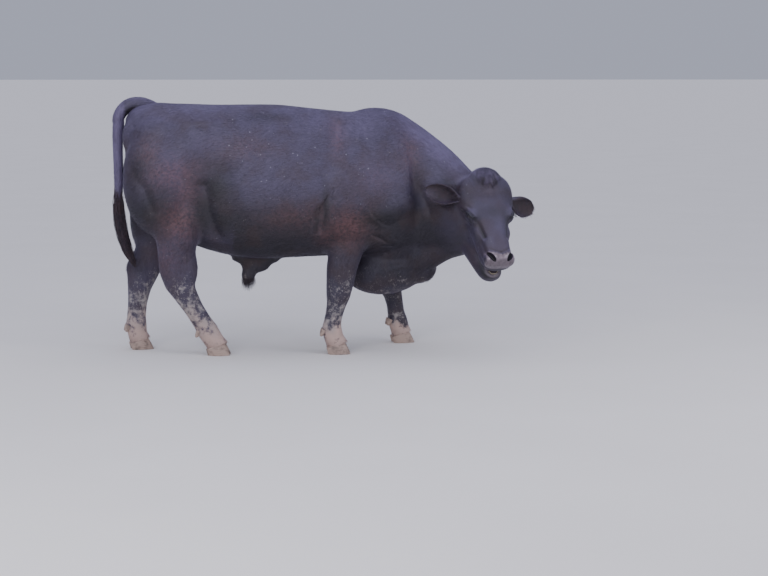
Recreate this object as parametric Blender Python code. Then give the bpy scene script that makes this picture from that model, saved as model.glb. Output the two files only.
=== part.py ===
"""An Angus bull standing in a pasture stride, head turned to its right and lowered,
as a still life-size model.

Metres, +Z up. The bull faces +X, its left side is +Y, and it stands on Z = 0 with the
origin under the middle of its bounding box.

The flesh is modelled whole, as clay: lofted trunk, neck, head and legs, with the muscle
masses laid over them, are fused by a voxel remesh, smoothed, and creased. Thin flat cuts
then part it where a person would name its parts. Ears, eyes, claws and tail are solids
of their own, trimmed to the flesh that they grow from.
"""

import math

import bmesh
import bpy
import numpy as np
from mathutils import Euler, Matrix, Vector
from mathutils.bvhtree import BVHTree

# Driving dimensions
LOIN = 1.42                # height of the back over the loin
BELLY = 0.535              # height of the belly's lowest stretch
BARREL = 0.355             # half the width of the rib cage
HEAD_LENGTH = 0.575        # top of the poll to the front of the muzzle
HEAD_TURN = -78.5          # degrees from +X to where the face points, to the bull's right
HEAD_DROP = 61.0           # degrees that the line of the face drops below level
POLL = Vector((1.066, -0.320, 1.050))
EYE_RADIUS = 0.021
FORE_SPREAD = 0.200        # half the distance between the fore feet
FORE_CLEFT = 0.128         # from the middle to the inner side of a foreleg's root
ELBOW = 0.547              # height where a foreleg's node ends
HIND_SPREAD = 0.150
CLAW_LENGTH = 0.128
CLAW_WIDTH = 0.058
CLAW_GAP = 0.006           # between the two claws of a foot
TOE_HEIGHT = 0.078         # of a claw at its front, under the hair
HEEL_HEIGHT = 0.044
DEWCLAW_HEIGHT = 0.126
TAIL_RADIUS = 0.030
SWITCH_TIP = 0.490         # height of the lowest hair of the tail
EAR_LENGTH = 0.225
EAR_WIDTH = 0.116
EAR_SKIN = 0.009           # thickness of an ear at its root

# Modelling sizes
GAP = 0.0003               # between nodes that meet
SHARP_ANGLE = 50.0         # degrees above which an edge shades sharp
VOXEL = 0.007              # grain of the clay
SIDES = 28                 # of a lofted ring
EAR_STEPS = 7              # points across each face of an ear
BODY_TRIANGLES = 4650      # before the cuts
HEAD_TRIANGLES = 2350
HEAD_REACH = 0.30          # of the head's finer clay, about the middle of the face

# Finishes: base colour, roughness.
FINISHES = {
    "coat": ((0.030, 0.026, 0.032), 0.48),
    "hair": ((0.020, 0.016, 0.018), 0.60),
    "horn": ((0.210, 0.170, 0.140), 0.55),
    "eye": ((0.010, 0.008, 0.007), 0.08),
    "tooth": ((0.620, 0.560, 0.420), 0.35),
}

# Hair in locks
SEED = 11
SWITCH_LOCKS = 27
POLL_LOCKS = 17
SHEATH_LOCKS = 9
LOCK_SHAPE = ((0.0, 0.62), (0.35, 1.0), (0.72, 0.72), (1.0, 0.10))  # share of length, of width

# Lower front teeth
TEETH = 8
TOOTH_ARCH = (0.546, -0.163, 0.026)  # its middle, down and out of the face, and its radius
TOOTH_DEPTH = 0.007
TOOTH_HEIGHT = 0.026

UP = Vector((0.0, 0.0, 1.0))
RIGHT, LEFT = -1, 1

# Trunk, tail end to chest: x, top, bottom, half width, squareness, pinch.
# Pinch above 0 narrows a ring downwards, and below 0 upwards.
TRUNK = (
    (-0.948, 1.340, 1.060, 0.100, 2.2, 0.00),
    (-0.905, 1.402, 0.900, 0.190, 2.3, 0.00),
    (-0.800, LOIN + 0.012, 0.760, 0.250, 2.5, 0.05),
    (-0.680, LOIN + 0.008, 0.670, 0.280, 2.7, 0.06),
    (-0.540, LOIN + 0.004, 0.606, 0.295, 2.7, 0.03),
    (-0.400, LOIN, 0.562, 0.315, 2.6, -0.03),
    (-0.250, LOIN + 0.002, BELLY + 0.004, 0.340, 2.4, -0.08),
    (-0.080, LOIN, BELLY, BARREL, 2.3, -0.12),
    (0.080, LOIN - 0.016, BELLY + 0.006, 0.355, 2.2, -0.16),
    (0.230, LOIN - 0.032, BELLY + 0.010, 0.348, 2.2, -0.18),
    (0.380, LOIN - 0.042, BELLY + 0.012, 0.338, 2.1, -0.16),
    (0.520, LOIN - 0.028, BELLY + 0.014, 0.312, 2.1, -0.12),
    (0.650, LOIN - 0.075, BELLY + 0.020, 0.262, 2.1, -0.08),
    (0.740, LOIN - 0.150, 0.590, 0.196, 2.0, -0.04),
    (0.800, LOIN - 0.230, 0.680, 0.110, 2.0, 0.00),
)

# Neck: share of its length, crest height, underline height, half width, pinch.
NECK_ROOT = Vector((0.560, 0.0, 0.0))
NECK_HEADINGS = (-3.0, -66.0)
NECK_REACH = 0.615
NECK = (
    (0.00, 1.392, 0.565, 0.250, -0.02),
    (0.22, 1.328, 0.560, 0.222, 0.10),
    (0.42, 1.240, 0.550, 0.192, 0.16),
    (0.60, 1.153, 0.560, 0.168, 0.16),
    (0.78, 1.052, 0.580, 0.150, 0.12),
    (0.92, 1.000, 0.620, 0.132, 0.06),
    (1.00, 0.975, 0.690, 0.105, 0.00),
)

# Dewlap, the loose fold under the neck: share of the neck's length, top, underline, half width.
DEWLAP = (
    (0.10, 0.640, 0.420, 0.086),
    (0.26, 0.660, 0.412, 0.090),
    (0.42, 0.680, 0.462, 0.084),
    (0.60, 0.700, 0.523, 0.076),
    (0.78, 0.720, 0.558, 0.070),
    (0.92, 0.740, 0.588, 0.068),
    (1.00, 0.740, 0.620, 0.060),
)

# Skull and upper jaw: along the face, face surface, underside, half width, squareness, pinch.
SKULL = (
    (0.004, -0.034, -0.100, 0.056, 2.2, 0.00),
    (0.030, 0.000, -0.160, 0.122, 2.4, 0.05),
    (0.080, 0.010, -0.215, 0.156, 2.6, 0.10),
    (0.150, 0.004, -0.258, 0.163, 2.8, 0.12),
    (0.220, 0.000, -0.280, 0.148, 2.8, 0.14),
    (0.280, -0.006, -0.278, 0.128, 2.6, 0.06),
    (0.340, -0.008, -0.256, 0.112, 2.5, 0.00),
    (0.400, -0.006, -0.216, 0.099, 2.5, -0.02),
    (0.450, -0.004, -0.176, 0.091, 2.6, -0.06),
    (0.500, -0.002, -0.150, 0.089, 2.7, -0.06),
    (0.540, -0.010, -0.140, 0.087, 2.7, -0.06),
    (0.566, -0.030, -0.130, 0.073, 2.4, -0.04),
    (HEAD_LENGTH, -0.050, -0.108, 0.050, 2.0, 0.00),
)

# Lower jaw, hanging a little open: along the face, top, underside, half width.
JAW = (
    (0.190, -0.190, -0.325, 0.122),
    (0.280, -0.185, -0.350, 0.122),
    (0.370, -0.172, -0.346, 0.110),
    (0.440, -0.164, -0.322, 0.092),
    (0.510, -0.160, -0.286, 0.077),
    (0.560, -0.158, -0.258, 0.066),
    (0.590, -0.172, -0.234, 0.046),
)

# Legs: joints from the top down as (x, z), with the lateral place of each.
FORE_JOINTS = {
    RIGHT: ((0.430, 0.860), (0.290, 0.620), (0.240, 0.330), (0.203, 0.140), (0.238, 0.050)),
    LEFT: ((0.450, 0.860), (0.440, 0.620), (0.598, 0.335), (0.640, 0.140), (0.668, 0.050)),
}
FORE_ACROSS = (0.190, 0.208, 0.200, FORE_SPREAD, FORE_SPREAD)
HIND_JOINTS = {
    RIGHT: ((-0.710, 0.950), (-0.668, 0.680), (-0.667, 0.445), (-0.503, 0.142), (-0.444, 0.050)),
    LEFT: ((-0.740, 0.950), (-0.745, 0.680), (-0.862, 0.445), (-0.904, 0.142), (-0.878, 0.050)),
}
HIND_ACROSS = (0.170, 0.185, 0.160, HIND_SPREAD, HIND_SPREAD)

# Leg girths: joint number and share beyond it, half depth, half width.
FORE_GIRTHS = (
    (0.0, 0.130, 0.085),
    (0.6, 0.122, 0.082),
    (1.0, 0.106, 0.076),
    (1.4, 0.092, 0.068),
    (1.75, 0.080, 0.062),
    (2.0, 0.071, 0.062),
    (2.2, 0.058, 0.053),
    (2.5, 0.052, 0.044),
    (2.8, 0.054, 0.045),
    (3.0, 0.062, 0.053),
    (3.5, 0.058, 0.055),
    (4.0, 0.062, 0.062),
    (4.4, 0.060, 0.060),
)
HIND_GIRTHS = (
    (0.0, 0.200, 0.105),
    (0.5, 0.165, 0.100),
    (1.0, 0.125, 0.086),
    (1.5, 0.108, 0.068),
    (1.85, 0.098, 0.058),
    (2.1, 0.088, 0.056),
    (2.3, 0.070, 0.051),
    (2.55, 0.058, 0.045),
    (2.8, 0.057, 0.045),
    (3.0, 0.064, 0.053),
    (3.5, 0.058, 0.055),
    (4.0, 0.062, 0.062),
    (4.4, 0.060, 0.060),
)

# Feet: middle of the hoof in x and y, and the way the toes point in degrees from +X.
FEET = {
    "fore_right": (0.246, -FORE_SPREAD, -6.0),
    "fore_left": (0.676, FORE_SPREAD, 4.0),
    "hind_right": (-0.436, -HIND_SPREAD, -8.0),
    "hind_left": (-0.870, HIND_SPREAD, 8.0),
}

# Muscle and bone masses on each side: centre, radii, turn in degrees about X, Y and Z.
SIDE_MASSES = (
    ("shoulder blade", (0.430, 0.165, 1.040), (0.140, 0.125, 0.270), (0, -24, 0)),
    ("upper arm", (0.460, 0.225, 0.830), (0.200, 0.105, 0.140), (0, -28, 0)),
    ("triceps", (0.330, 0.235, 0.840), (0.150, 0.105, 0.220), (0, 14, 0)),
    ("point of shoulder", (0.610, 0.175, 0.860), (0.095, 0.105, 0.130), (0, 0, 0)),
    ("hook bone", (-0.500, 0.200, 1.295), (0.130, 0.070, 0.066), (0, 6, 0)),
    ("pin bone", (-0.912, 0.112, 1.240), (0.058, 0.052, 0.100), (0, 0, 0)),
    ("rump", (-0.720, 0.150, 1.210), (0.210, 0.130, 0.170), (0, 0, 0)),
)
THIGH_MASSES = {
    RIGHT: (
        ("round", (-0.752, 0.180, 0.990), (0.220, 0.125, 0.330), (0, -4, 0)),
        ("stifle", (-0.615, 0.195, 0.760), (0.085, 0.100, 0.190), (0, 4, 0)),
        ("gaskin", (-0.625, 0.172, 0.520), (0.076, 0.055, 0.150), (0, -4, 0)),
    ),
    LEFT: (
        ("round", (-0.776, 0.180, 0.990), (0.198, 0.125, 0.330), (0, 0, 0)),
        ("hamstring", (-0.857, 0.180, 0.765), (0.078, 0.078, 0.200), (0, 0, 0)),
        ("stifle", (-0.610, 0.195, 0.780), (0.130, 0.100, 0.170), (0, 16, 0)),
    ),
}
MIDDLE_MASSES = (
    ("crest", (0.520, 0.0, 1.240), (0.250, 0.105, 0.160), (0, 12, 0)),
    ("chest", (0.590, 0.0, 0.730), (0.200, 0.210, 0.175), (0, 0, 0)),
    ("breast", (0.580, 0.0, 0.625), (0.220, 0.150, 0.145), (0, 0, 0)),
    ("brisket", (0.545, 0.0, 0.465), (0.250, 0.120, 0.155), (0, -6, 0)),
    ("brisket tip", (0.735, 0.0, 0.480), (0.115, 0.088, 0.110), (0, 0, 0)),
    ("crotch", (-0.700, 0.0, 0.880), (0.180, 0.120, 0.180), (0, 0, 0)),
    ("navel fold", (-0.215, 0.0, 0.528), (0.150, 0.056, 0.034), (0, 2, 0)),
    ("sheath root", (-0.215, 0.0, 0.494), (0.090, 0.046, 0.046), (0, 2, 0)),
    ("sheath", (-0.256, 0.0, 0.446), (0.046, 0.037, 0.062), (0, 10, 0)),
    ("scrotum neck", (-0.640, 0.0, 0.650), (0.065, 0.050, 0.120), (0, 0, 0)),
)
TESTIS = ((-0.640, 0.034, 0.545), (0.052, 0.042, 0.085))

# Masses of each side of the head: along the face, out of it, aside; radii in that order.
HEAD_SIDE_MASSES = (
    ("cheek", (0.222, -0.180, 0.096), (0.100, 0.080, 0.046)),
    ("orbit", (0.258, -0.052, 0.106), (0.050, 0.040, 0.040)),
    ("temple", (0.140, -0.066, 0.106), (0.080, 0.060, 0.038)),
    ("facial tuber", (0.352, -0.082, 0.084), (0.055, 0.034, 0.030)),
    ("nostril wing", (0.532, -0.050, 0.062), (0.044, 0.042, 0.032)),
    ("lip corner", (0.480, -0.124, 0.066), (0.050, 0.030, 0.024)),
    ("ear root", (0.116, -0.100, 0.120), (0.042, 0.042, 0.036)),
)
HEAD_MIDDLE_MASSES = (
    ("upper lip", (0.545, -0.094, 0.0), (0.036, 0.046, 0.078)),
    ("chin", (0.556, -0.214, 0.0), (0.044, 0.032, 0.052)),
    ("lower lip", (0.580, -0.176, 0.0), (0.018, 0.020, 0.044)),
    ("poll knob", (0.050, -0.022, 0.0), (0.078, 0.046, 0.098)),
    ("poll tuft", (0.016, -0.010, 0.0), (0.030, 0.026, 0.052)),
)
EYE = (0.260, -0.056, 0.119)
NOSTRIL = (0.530, -0.020, 0.056)
LIP_LINE = -0.150          # the mouth, out of the face

EYE_SLANT = 34.0           # degrees from the line of the face to the slit between the lids

# Folds and hollows of each side of the head: places as above, half width, height.
HEAD_LINES = (
    ("lid fold", ((0.215, -0.060, 0.140), (0.245, -0.032, 0.134), (0.280, -0.022, 0.112)), 0.010, 0.007),
    ("brow crease", ((0.200, -0.042, 0.135), (0.238, -0.012, 0.125), (0.286, -0.004, 0.098)), 0.009, -0.005),
    ("under lid", ((0.240, -0.092, 0.134), (0.272, -0.078, 0.128), (0.302, -0.050, 0.104)), 0.008, 0.004),
    ("eye bag", ((0.245, -0.112, 0.134), (0.285, -0.096, 0.124), (0.320, -0.060, 0.098)), 0.010, -0.004),
    ("tear groove", ((0.300, -0.034, 0.098), (0.340, -0.034, 0.086), (0.400, -0.030, 0.074)), 0.014, -0.007),
    ("cheek hollow", ((0.300, -0.150, 0.104), (0.350, -0.150, 0.100), (0.400, -0.160, 0.090)), 0.024, -0.012),
    ("temple hollow", ((0.150, -0.020, 0.110), (0.190, -0.022, 0.112)), 0.026, -0.006),
    ("nose ridge", ((0.340, 0.000, 0.040), (0.420, 0.002, 0.036), (0.490, 0.000, 0.040)), 0.016, 0.003),
    ("nose side", ((0.420, -0.060, 0.092), (0.460, -0.050, 0.086), (0.490, -0.040, 0.082)), 0.014, -0.006),
    ("nostril rim", ((0.496, -0.026, 0.080), (0.516, -0.008, 0.056), (0.546, -0.006, 0.034)), 0.008, 0.006),
    ("nostril wing rim", ((0.510, -0.050, 0.092), (0.540, -0.052, 0.084), (0.562, -0.050, 0.060)), 0.008, 0.005),
    ("mouth line", ((0.420, -0.158, 0.100), (0.480, -0.152, 0.086), (0.530, -0.150, 0.080)), 0.007, -0.010),
    ("lip fold", ((0.440, -0.120, 0.096), (0.490, -0.100, 0.094), (0.530, -0.088, 0.088)), 0.008, -0.004),
)
HEAD_MIDDLE_LINES = (
    ("pad top", ((0.508, -0.004, -0.030), (0.520, -0.006, 0.000), (0.508, -0.004, 0.030)), 0.007, 0.004),
    ("philtrum", ((0.540, -0.014, 0.000), (0.575, -0.070, 0.000), (0.570, -0.120, 0.000)), 0.006, -0.004),
    ("forehead", ((0.100, 0.010, 0.000), (0.220, 0.004, 0.000)), 0.050, 0.006),
    ("nose hollow", ((0.290, -0.004, 0.000), (0.330, -0.006, 0.000)), 0.040, -0.005),
)

# The way each ear reaches from the head: aside, out of the face and down it.
EAR_REACH = {RIGHT: (0.948, -0.02, -0.33), LEFT: (0.905, -0.38, 0.20)}
EAR_ROOT = (0.140, -0.094, 0.128)

# Ear from root to tip: share of its length, half width and depth of its cup as shares,
# and how far round each side of it wraps, in degrees.
EAR_PROFILE = (
    (0.00, 0.34, 0.34, 165.0),
    (0.12, 0.40, 0.34, 155.0),
    (0.26, 0.66, 0.36, 128.0),
    (0.42, 0.92, 0.36, 104.0),
    (0.60, 1.00, 0.32, 92.0),
    (0.78, 0.90, 0.25, 86.0),
    (0.92, 0.62, 0.15, 84.0),
    (1.00, 0.30, 0.07, 84.0),
)

# Tail, root to the lowest hair: x, z, radius.
TAIL = (
    (-0.760, 1.386, 0.040),
    (-0.850, 1.420, 0.042),
    (-0.925, 1.413, 0.041),
    (-0.978, 1.360, 0.037),
    (-0.994, 1.270, 0.033),
    (-0.996, 1.150, TAIL_RADIUS),
    (-0.993, 1.000, TAIL_RADIUS - 0.001),
)
SWITCH = (
    (-0.993, 0.990, 0.030),
    (-0.993, 0.900, 0.035),
    (-0.990, 0.800, 0.042),
    (-0.977, 0.700, 0.044),
    (-0.950, 0.600, 0.038),
    (-0.920, 0.530, 0.024),
    (-0.903, SWITCH_TIP, 0.006),
)

# Folds and hollows of each side of the body: places, half width, height.
BODY_LINES = (
    ("behind the shoulder", ((0.255, 0.17, 1.320), (0.215, 0.30, 1.140), (0.165, 0.35, 0.950)), 0.040, -0.014),
    ("elbow fold", ((0.185, 0.35, 0.900), (0.140, 0.35, 0.810), (0.130, 0.33, 0.700)), 0.016, -0.016),
    ("second elbow fold", ((0.135, 0.35, 0.860), (0.095, 0.35, 0.770), (0.088, 0.33, 0.700)), 0.013, -0.009),
    ("between shoulder and neck", ((0.690, 0.10, 1.250), (0.695, 0.22, 1.080), (0.700, 0.25, 0.900)), 0.050, -0.008),
    ("neck wrinkle", ((0.640, 0.14, 1.230), (0.645, 0.23, 1.100), (0.640, 0.25, 0.980)), 0.016, 0.006),
    ("under the shoulder", ((0.430, 0.32, 0.740), (0.530, 0.27, 0.750), (0.620, 0.22, 0.790)), 0.035, -0.012),
    ("breast fold", ((0.440, 0.28, 0.665), (0.500, 0.22, 0.665), (0.540, 0.18, 0.670)), 0.014, -0.007),
    ("low breast fold", ((0.400, 0.12, 0.545), (0.470, 0.14, 0.550), (0.540, 0.14, 0.560)), 0.014, -0.006),
    ("flank hollow", ((-0.470, 0.28, 1.150), (-0.440, 0.32, 1.050)), 0.090, -0.018),
    ("thigh front", ((-0.520, 0.30, 0.960), (-0.500, 0.29, 0.820), (-0.455, 0.26, 0.680)), 0.040, -0.020),
    ("rib end", ((-0.300, 0.34, 1.150), (-0.330, 0.34, 1.000), (-0.300, 0.34, 0.850)), 0.050, 0.006),
    ("hook to pin", ((-0.560, 0.24, 1.270), (-0.720, 0.24, 1.200), (-0.860, 0.17, 1.180)), 0.045, -0.008),
    ("thigh groove", ((-0.915, 0.22, 1.080), (-0.850, 0.28, 0.960), (-0.800, 0.28, 0.830)), 0.028, -0.010),
    ("beside the backbone", ((0.150, 0.10, 1.390), (-0.200, 0.10, 1.415), (-0.550, 0.10, 1.420)), 0.040, -0.005),
)

# Where the cut above each hind leg runs: side, its front end and its rear end in x and z.
HIND_TOPS = (
    (RIGHT, (-0.400, 0.541), (-1.000, 0.850)),
    (LEFT, (-0.460, 0.561), (-1.000, 0.810)),
)

# Thin cuts that part the flesh: centre, the way each faces, width and height.
# The first axis of each is level.
TRUNK_CUTS = (
    ("neck", (0.650, 0.0, 0.900), (0.940, 0.0, 0.340), 1.00, 1.24),
    ("sheath", (-0.235, 0.0, BELLY - 0.008), (0.0, 0.0, 1.0), 0.30, 0.50),
    ("scrotum", (-0.640, 0.0, 0.600), (0.0, 0.0, 1.0), 0.160, 0.20),
)


def clear_scene():
    for obj in list(bpy.data.objects):
        bpy.data.objects.remove(obj, do_unlink=True)


def add_object(name, mesh):
    obj = bpy.data.objects.new(name, mesh)
    bpy.context.scene.collection.objects.link(obj)
    return obj


def from_bmesh(name, bm):
    """A new object holding bm, its faces pointing out."""
    bmesh.ops.recalc_face_normals(bm, faces=bm.faces)
    mesh = bpy.data.meshes.new(name)
    bm.to_mesh(mesh)
    bm.free()
    return add_object(name, mesh)


def evaluated_mesh(obj):
    graph = bpy.context.evaluated_depsgraph_get()
    return bpy.data.meshes.new_from_object(obj.evaluated_get(graph))


def apply_modifiers(obj):
    mesh = evaluated_mesh(obj)
    obj.modifiers.clear()
    obj.data = mesh


def signed_power(value, power):
    return math.copysign(abs(value) ** power, value)


def add_ring(bm, centre, across, up, square=2.0, pinch=0.0, sides=SIDES):
    """A closed superellipse, with half axes across and up. Returns its edges in order."""
    made = bmesh.ops.create_circle(bm, segments=sides, radius=1.0)
    for vert in made["verts"]:
        side = signed_power(vert.co.x, 2.0 / square)
        rise = signed_power(vert.co.y, 2.0 / square)
        vert.co = centre + across * (side * (1.0 + pinch * rise)) + up * rise
    return list(dict.fromkeys(edge for vert in made["verts"] for edge in vert.link_edges))


def loft(bm, rings):
    """Joins rings of edges into one closed tube."""
    for ring, following in zip(rings, rings[1:]):
        bmesh.ops.bridge_loops(bm, edges=ring + following)
    for end in (rings[0], rings[-1]):
        bmesh.ops.edgeloop_fill(bm, edges=end)


def add_mass(bm, centre, radii, turn=(0.0, 0.0, 0.0), side=1):
    """An ellipsoid, mirrored to the right of the body by side -1."""
    centre = Vector((centre[0], centre[1] * side, centre[2]))
    turn = Euler([math.radians(angle) for angle in (turn[0] * side, turn[1], turn[2] * side)])
    matrix = Matrix.LocRotScale(centre, turn, Vector(radii))
    bmesh.ops.create_icosphere(bm, subdivisions=3, radius=1.0, matrix=matrix)


def smooth_value(values, place):
    """The value at place, 0 at the first and 1 more at each next, on a smooth curve."""
    index = max(0, min(int(place), len(values) - 2))
    share = place - index
    before, start, end, after = (
        values[max(0, min(len(values) - 1, index + step))] for step in (-1, 0, 1, 2)
    )
    return 0.5 * (
        2.0 * start
        + (end - before) * share
        + (2.0 * before - 5.0 * start + 4.0 * end - after) * share**2
        + (3.0 * start - before - 3.0 * end + after) * share**3
    )


def smooth_rows(table, steps=3):
    """The rows of a table with smooth ones between them, as tuples."""
    columns = list(zip(*table))
    count = (len(table) - 1) * steps
    return [
        tuple(smooth_value(column, row / steps) for column in columns) for row in range(count + 1)
    ]


def neck_place(share):
    """Where the neck's middle line is in plan, and its heading in radians, at a share of it."""
    start, end = (math.radians(angle) for angle in NECK_HEADINGS)
    steps = 40
    spot = NECK_ROOT.copy()
    for step in range(steps):
        heading = start + (end - start) * share * (step + 0.5) / steps
        spot += Vector((math.cos(heading), math.sin(heading), 0.0)) * (NECK_REACH * share / steps)
    return spot, start + (end - start) * share


def head_axes():
    """Unit vectors down the face to the muzzle, square out of the face, and to its left."""
    turn = math.radians(HEAD_TURN)
    drop = math.radians(HEAD_DROP)
    level = Vector((math.cos(turn), math.sin(turn), 0.0))
    return (
        level * math.cos(drop) - UP * math.sin(drop),
        level * math.sin(drop) + UP * math.cos(drop),
        UP.cross(level),
    )


def on_head(along, out, left):
    down_axis, out_axis, left_axis = head_axes()
    return POLL + down_axis * along + out_axis * out + left_axis * left


def head_matrix(spot, radii, tilt=(0.0, 0.0, 0.0)):
    """Places a unit shape at spot of the head, sized along, out and left of it."""
    axes = Matrix([axis.to_tuple() for axis in head_axes()]).transposed()
    turn = Euler([math.radians(angle) for angle in tilt]).to_matrix()
    return (
        Matrix.Translation(on_head(*spot)) @ (axes @ turn).to_4x4() @ Matrix.Diagonal((*radii, 1.0))
    )


def add_trunk(bm):
    rings = []
    for x, top, bottom, half, square, pinch in smooth_rows(TRUNK):
        centre = Vector((x, 0.0, (top + bottom) / 2))
        rings.append(
            add_ring(bm, centre, Vector((0, half, 0)), UP * (top - bottom) / 2, square, pinch)
        )
    loft(bm, rings)
    for side in (RIGHT, LEFT):
        for _, centre, radii, turn in SIDE_MASSES + THIGH_MASSES[side]:
            add_mass(bm, centre, radii, turn, side)
        add_mass(bm, *TESTIS, side=side)
    for _, centre, radii, turn in MIDDLE_MASSES:
        add_mass(bm, centre, radii, turn)


def add_neck(bm):
    rings = []
    for share, top, bottom, half, pinch in smooth_rows(NECK):
        spot, heading = neck_place(share)
        across = Vector((-math.sin(heading), math.cos(heading), 0.0)) * half
        centre = Vector((spot.x, spot.y, (top + bottom) / 2))
        rings.append(add_ring(bm, centre, across, UP * (top - bottom) / 2, 2.0, pinch))
    loft(bm, rings)
    rings = []
    for share, top, bottom, half in smooth_rows(DEWLAP):
        spot, heading = neck_place(share)
        across = Vector((-math.sin(heading), math.cos(heading), 0.0)) * half
        centre = Vector((spot.x, spot.y, (top + bottom) / 2))
        rings.append(add_ring(bm, centre, across, UP * (top - bottom) / 2))
    loft(bm, rings)


def add_head(bm):
    _, out_axis, left_axis = head_axes()
    rings = []
    for along, face, under, half, square, pinch in smooth_rows(SKULL):
        centre = on_head(along, (face + under) / 2, 0.0)
        rings.append(
            add_ring(bm, centre, left_axis * half, out_axis * (face - under) / 2, square, pinch)
        )
    loft(bm, rings)
    rings = []
    for along, top, under, half in smooth_rows(JAW):
        centre = on_head(along, (top + under) / 2, 0.0)
        rings.append(add_ring(bm, centre, left_axis * half, out_axis * (top - under) / 2, 2.4))
    loft(bm, rings)
    masses = [(spot, radii) for _, spot, radii in HEAD_MIDDLE_MASSES]
    for side in (RIGHT, LEFT):
        for _, (along, out, aside), radii in HEAD_SIDE_MASSES:
            masses.append(((along, out, aside * side), radii))
    for spot, radii in masses:
        bmesh.ops.create_icosphere(bm, subdivisions=3, radius=1.0, matrix=head_matrix(spot, radii))


def add_leg(bm, joints, across, girths, side):
    points = [Vector((x, y * side, z)) for (x, z), y in zip(joints, across)]
    points.append(points[-1] + (points[-1] - points[-2]) * 0.5)
    sideways = Vector((0.0, 1.0, 0.0))
    rings = []
    for place, deep, wide in girths:
        ahead = smooth_value(points, place + 0.05) - smooth_value(points, max(0.0, place - 0.05))
        fore = ahead.cross(sideways).normalized()
        rings.append(add_ring(bm, smooth_value(points, place), sideways * wide, fore * deep, 2.2))
    loft(bm, rings)


def add_legs(bm):
    for side in (RIGHT, LEFT):
        add_leg(bm, FORE_JOINTS[side], FORE_ACROSS, FORE_GIRTHS, side)
        add_leg(bm, HIND_JOINTS[side], HIND_ACROSS, HIND_GIRTHS, side)
        knee_x, knee_z = FORE_JOINTS[side][2]
        knee = (knee_x + 0.022, FORE_ACROSS[2], knee_z + 0.010)
        add_mass(bm, knee, (0.050, 0.056, 0.060), side=side)
        hock_x, hock_z = HIND_JOINTS[side][2]
        point_of_hock = (hock_x - 0.062, HIND_ACROSS[2], hock_z + 0.045)
        add_mass(bm, point_of_hock, (0.034, 0.030, 0.062), (0, 18, 0), side)


def remesh(obj, voxel):
    modifier = obj.modifiers.new("clay", "REMESH")
    modifier.mode = "VOXEL"
    modifier.voxel_size = voxel
    apply_modifiers(obj)


def mesh_arrays(mesh):
    points = np.empty(len(mesh.vertices) * 3, np.float32)
    mesh.vertices.foreach_get("co", points)
    edges = np.empty(len(mesh.edges) * 2, np.int32)
    mesh.edges.foreach_get("vertices", edges)
    return points.reshape(-1, 3).astype(np.float64), edges.reshape(-1, 2)


def set_points(mesh, points):
    mesh.vertices.foreach_set("co", points.astype(np.float32).ravel())
    mesh.update()


def relax(mesh, rounds, share):
    """Moves each vertex half way to its neighbours' mean, or its share of that."""
    points, edges = mesh_arrays(mesh)
    count = len(points)
    ends = np.concatenate([edges[:, 0], edges[:, 1]])
    others = np.concatenate([edges[:, 1], edges[:, 0]])
    degree = np.maximum(np.bincount(ends, minlength=count), 1)[:, None]
    for _ in range(rounds):
        total = np.stack(
            [np.bincount(ends, weights=points[others, axis], minlength=count) for axis in range(3)],
            axis=1,
        )
        points += 0.5 * share[:, None] * (total / degree - points)
    set_points(mesh, points)


def line_weights(points, line, width):
    """How near each point is to a bent line: 1 on it, and falling smoothly over its width."""
    line = np.array(line)
    weights = np.zeros(len(points))
    low, high = line.min(axis=0) - 3.0 * width, line.max(axis=0) + 3.0 * width
    near = np.flatnonzero(((points > low) & (points < high)).all(axis=1))
    for start, end in zip(line, line[1:]):
        run = end - start
        share = np.clip((points[near] - start) @ run / (run @ run), 0.0, 1.0)
        distance = np.linalg.norm(points[near] - start - share[:, None] * run, axis=1)
        weights[near] = np.maximum(weights[near], np.exp(-((distance / width) ** 2)))
    return weights


def sculpt(mesh, lines):
    """Raises or sinks the skin along lines, each with its points, half width and height."""
    points, _ = mesh_arrays(mesh)
    normals = np.empty(len(points) * 3, np.float32)
    mesh.vertex_normals.foreach_get("vector", normals)
    normals = normals.reshape(-1, 3)
    height = np.zeros(len(points))
    for line, width, rise in lines:
        height += rise * line_weights(points, line, width)
    set_points(mesh, points + normals * height[:, None])


def sculpted_lines():
    """All the folds and hollows, as points in the body's own frame."""
    lines = []
    for side in (RIGHT, LEFT):
        for _, line, width, rise in BODY_LINES:
            lines.append(([(x, y * side, z) for x, y, z in line], width, rise))
        for _, line, width, rise in HEAD_LINES:
            places = [tuple(on_head(along, out, aside * side)) for along, out, aside in line]
            lines.append((places, width, rise))
    for _, line, width, rise in HEAD_MIDDLE_LINES:
        lines.append(([tuple(on_head(*spot)) for spot in line], width, rise))
    return lines


def near_head(points, reach):
    """1 within reach of the face's middle, falling to 0 over a hand's breadth beyond."""
    distance = np.linalg.norm(points - np.array(on_head(0.27, -0.10, 0.0)), axis=1)
    return np.clip(1.0 - (distance - reach) / 0.10, 0.0, 1.0)


def thin_out(obj, triangles, chosen):
    """Collapses the part of the mesh where chosen is true to about that many triangles."""
    obj.data.calc_loop_triangles()
    corners = np.empty(len(obj.data.loop_triangles) * 3, np.int32)
    obj.data.loop_triangles.foreach_get("vertices", corners)
    within = int(chosen[corners.reshape(-1, 3)].all(axis=1).sum())
    group = obj.vertex_groups.new(name="thinned")
    group.add(np.flatnonzero(chosen).tolist(), 1.0, "REPLACE")
    modifier = obj.modifiers.new("thin out", "DECIMATE")
    modifier.ratio = 1.0 - (within - triangles) / len(obj.data.loop_triangles)
    modifier.vertex_group = group.name
    modifier.vertex_group_factor = 1000.0
    modifier.use_collapse_triangulate = True
    apply_modifiers(obj)
    obj.vertex_groups.clear()


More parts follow.
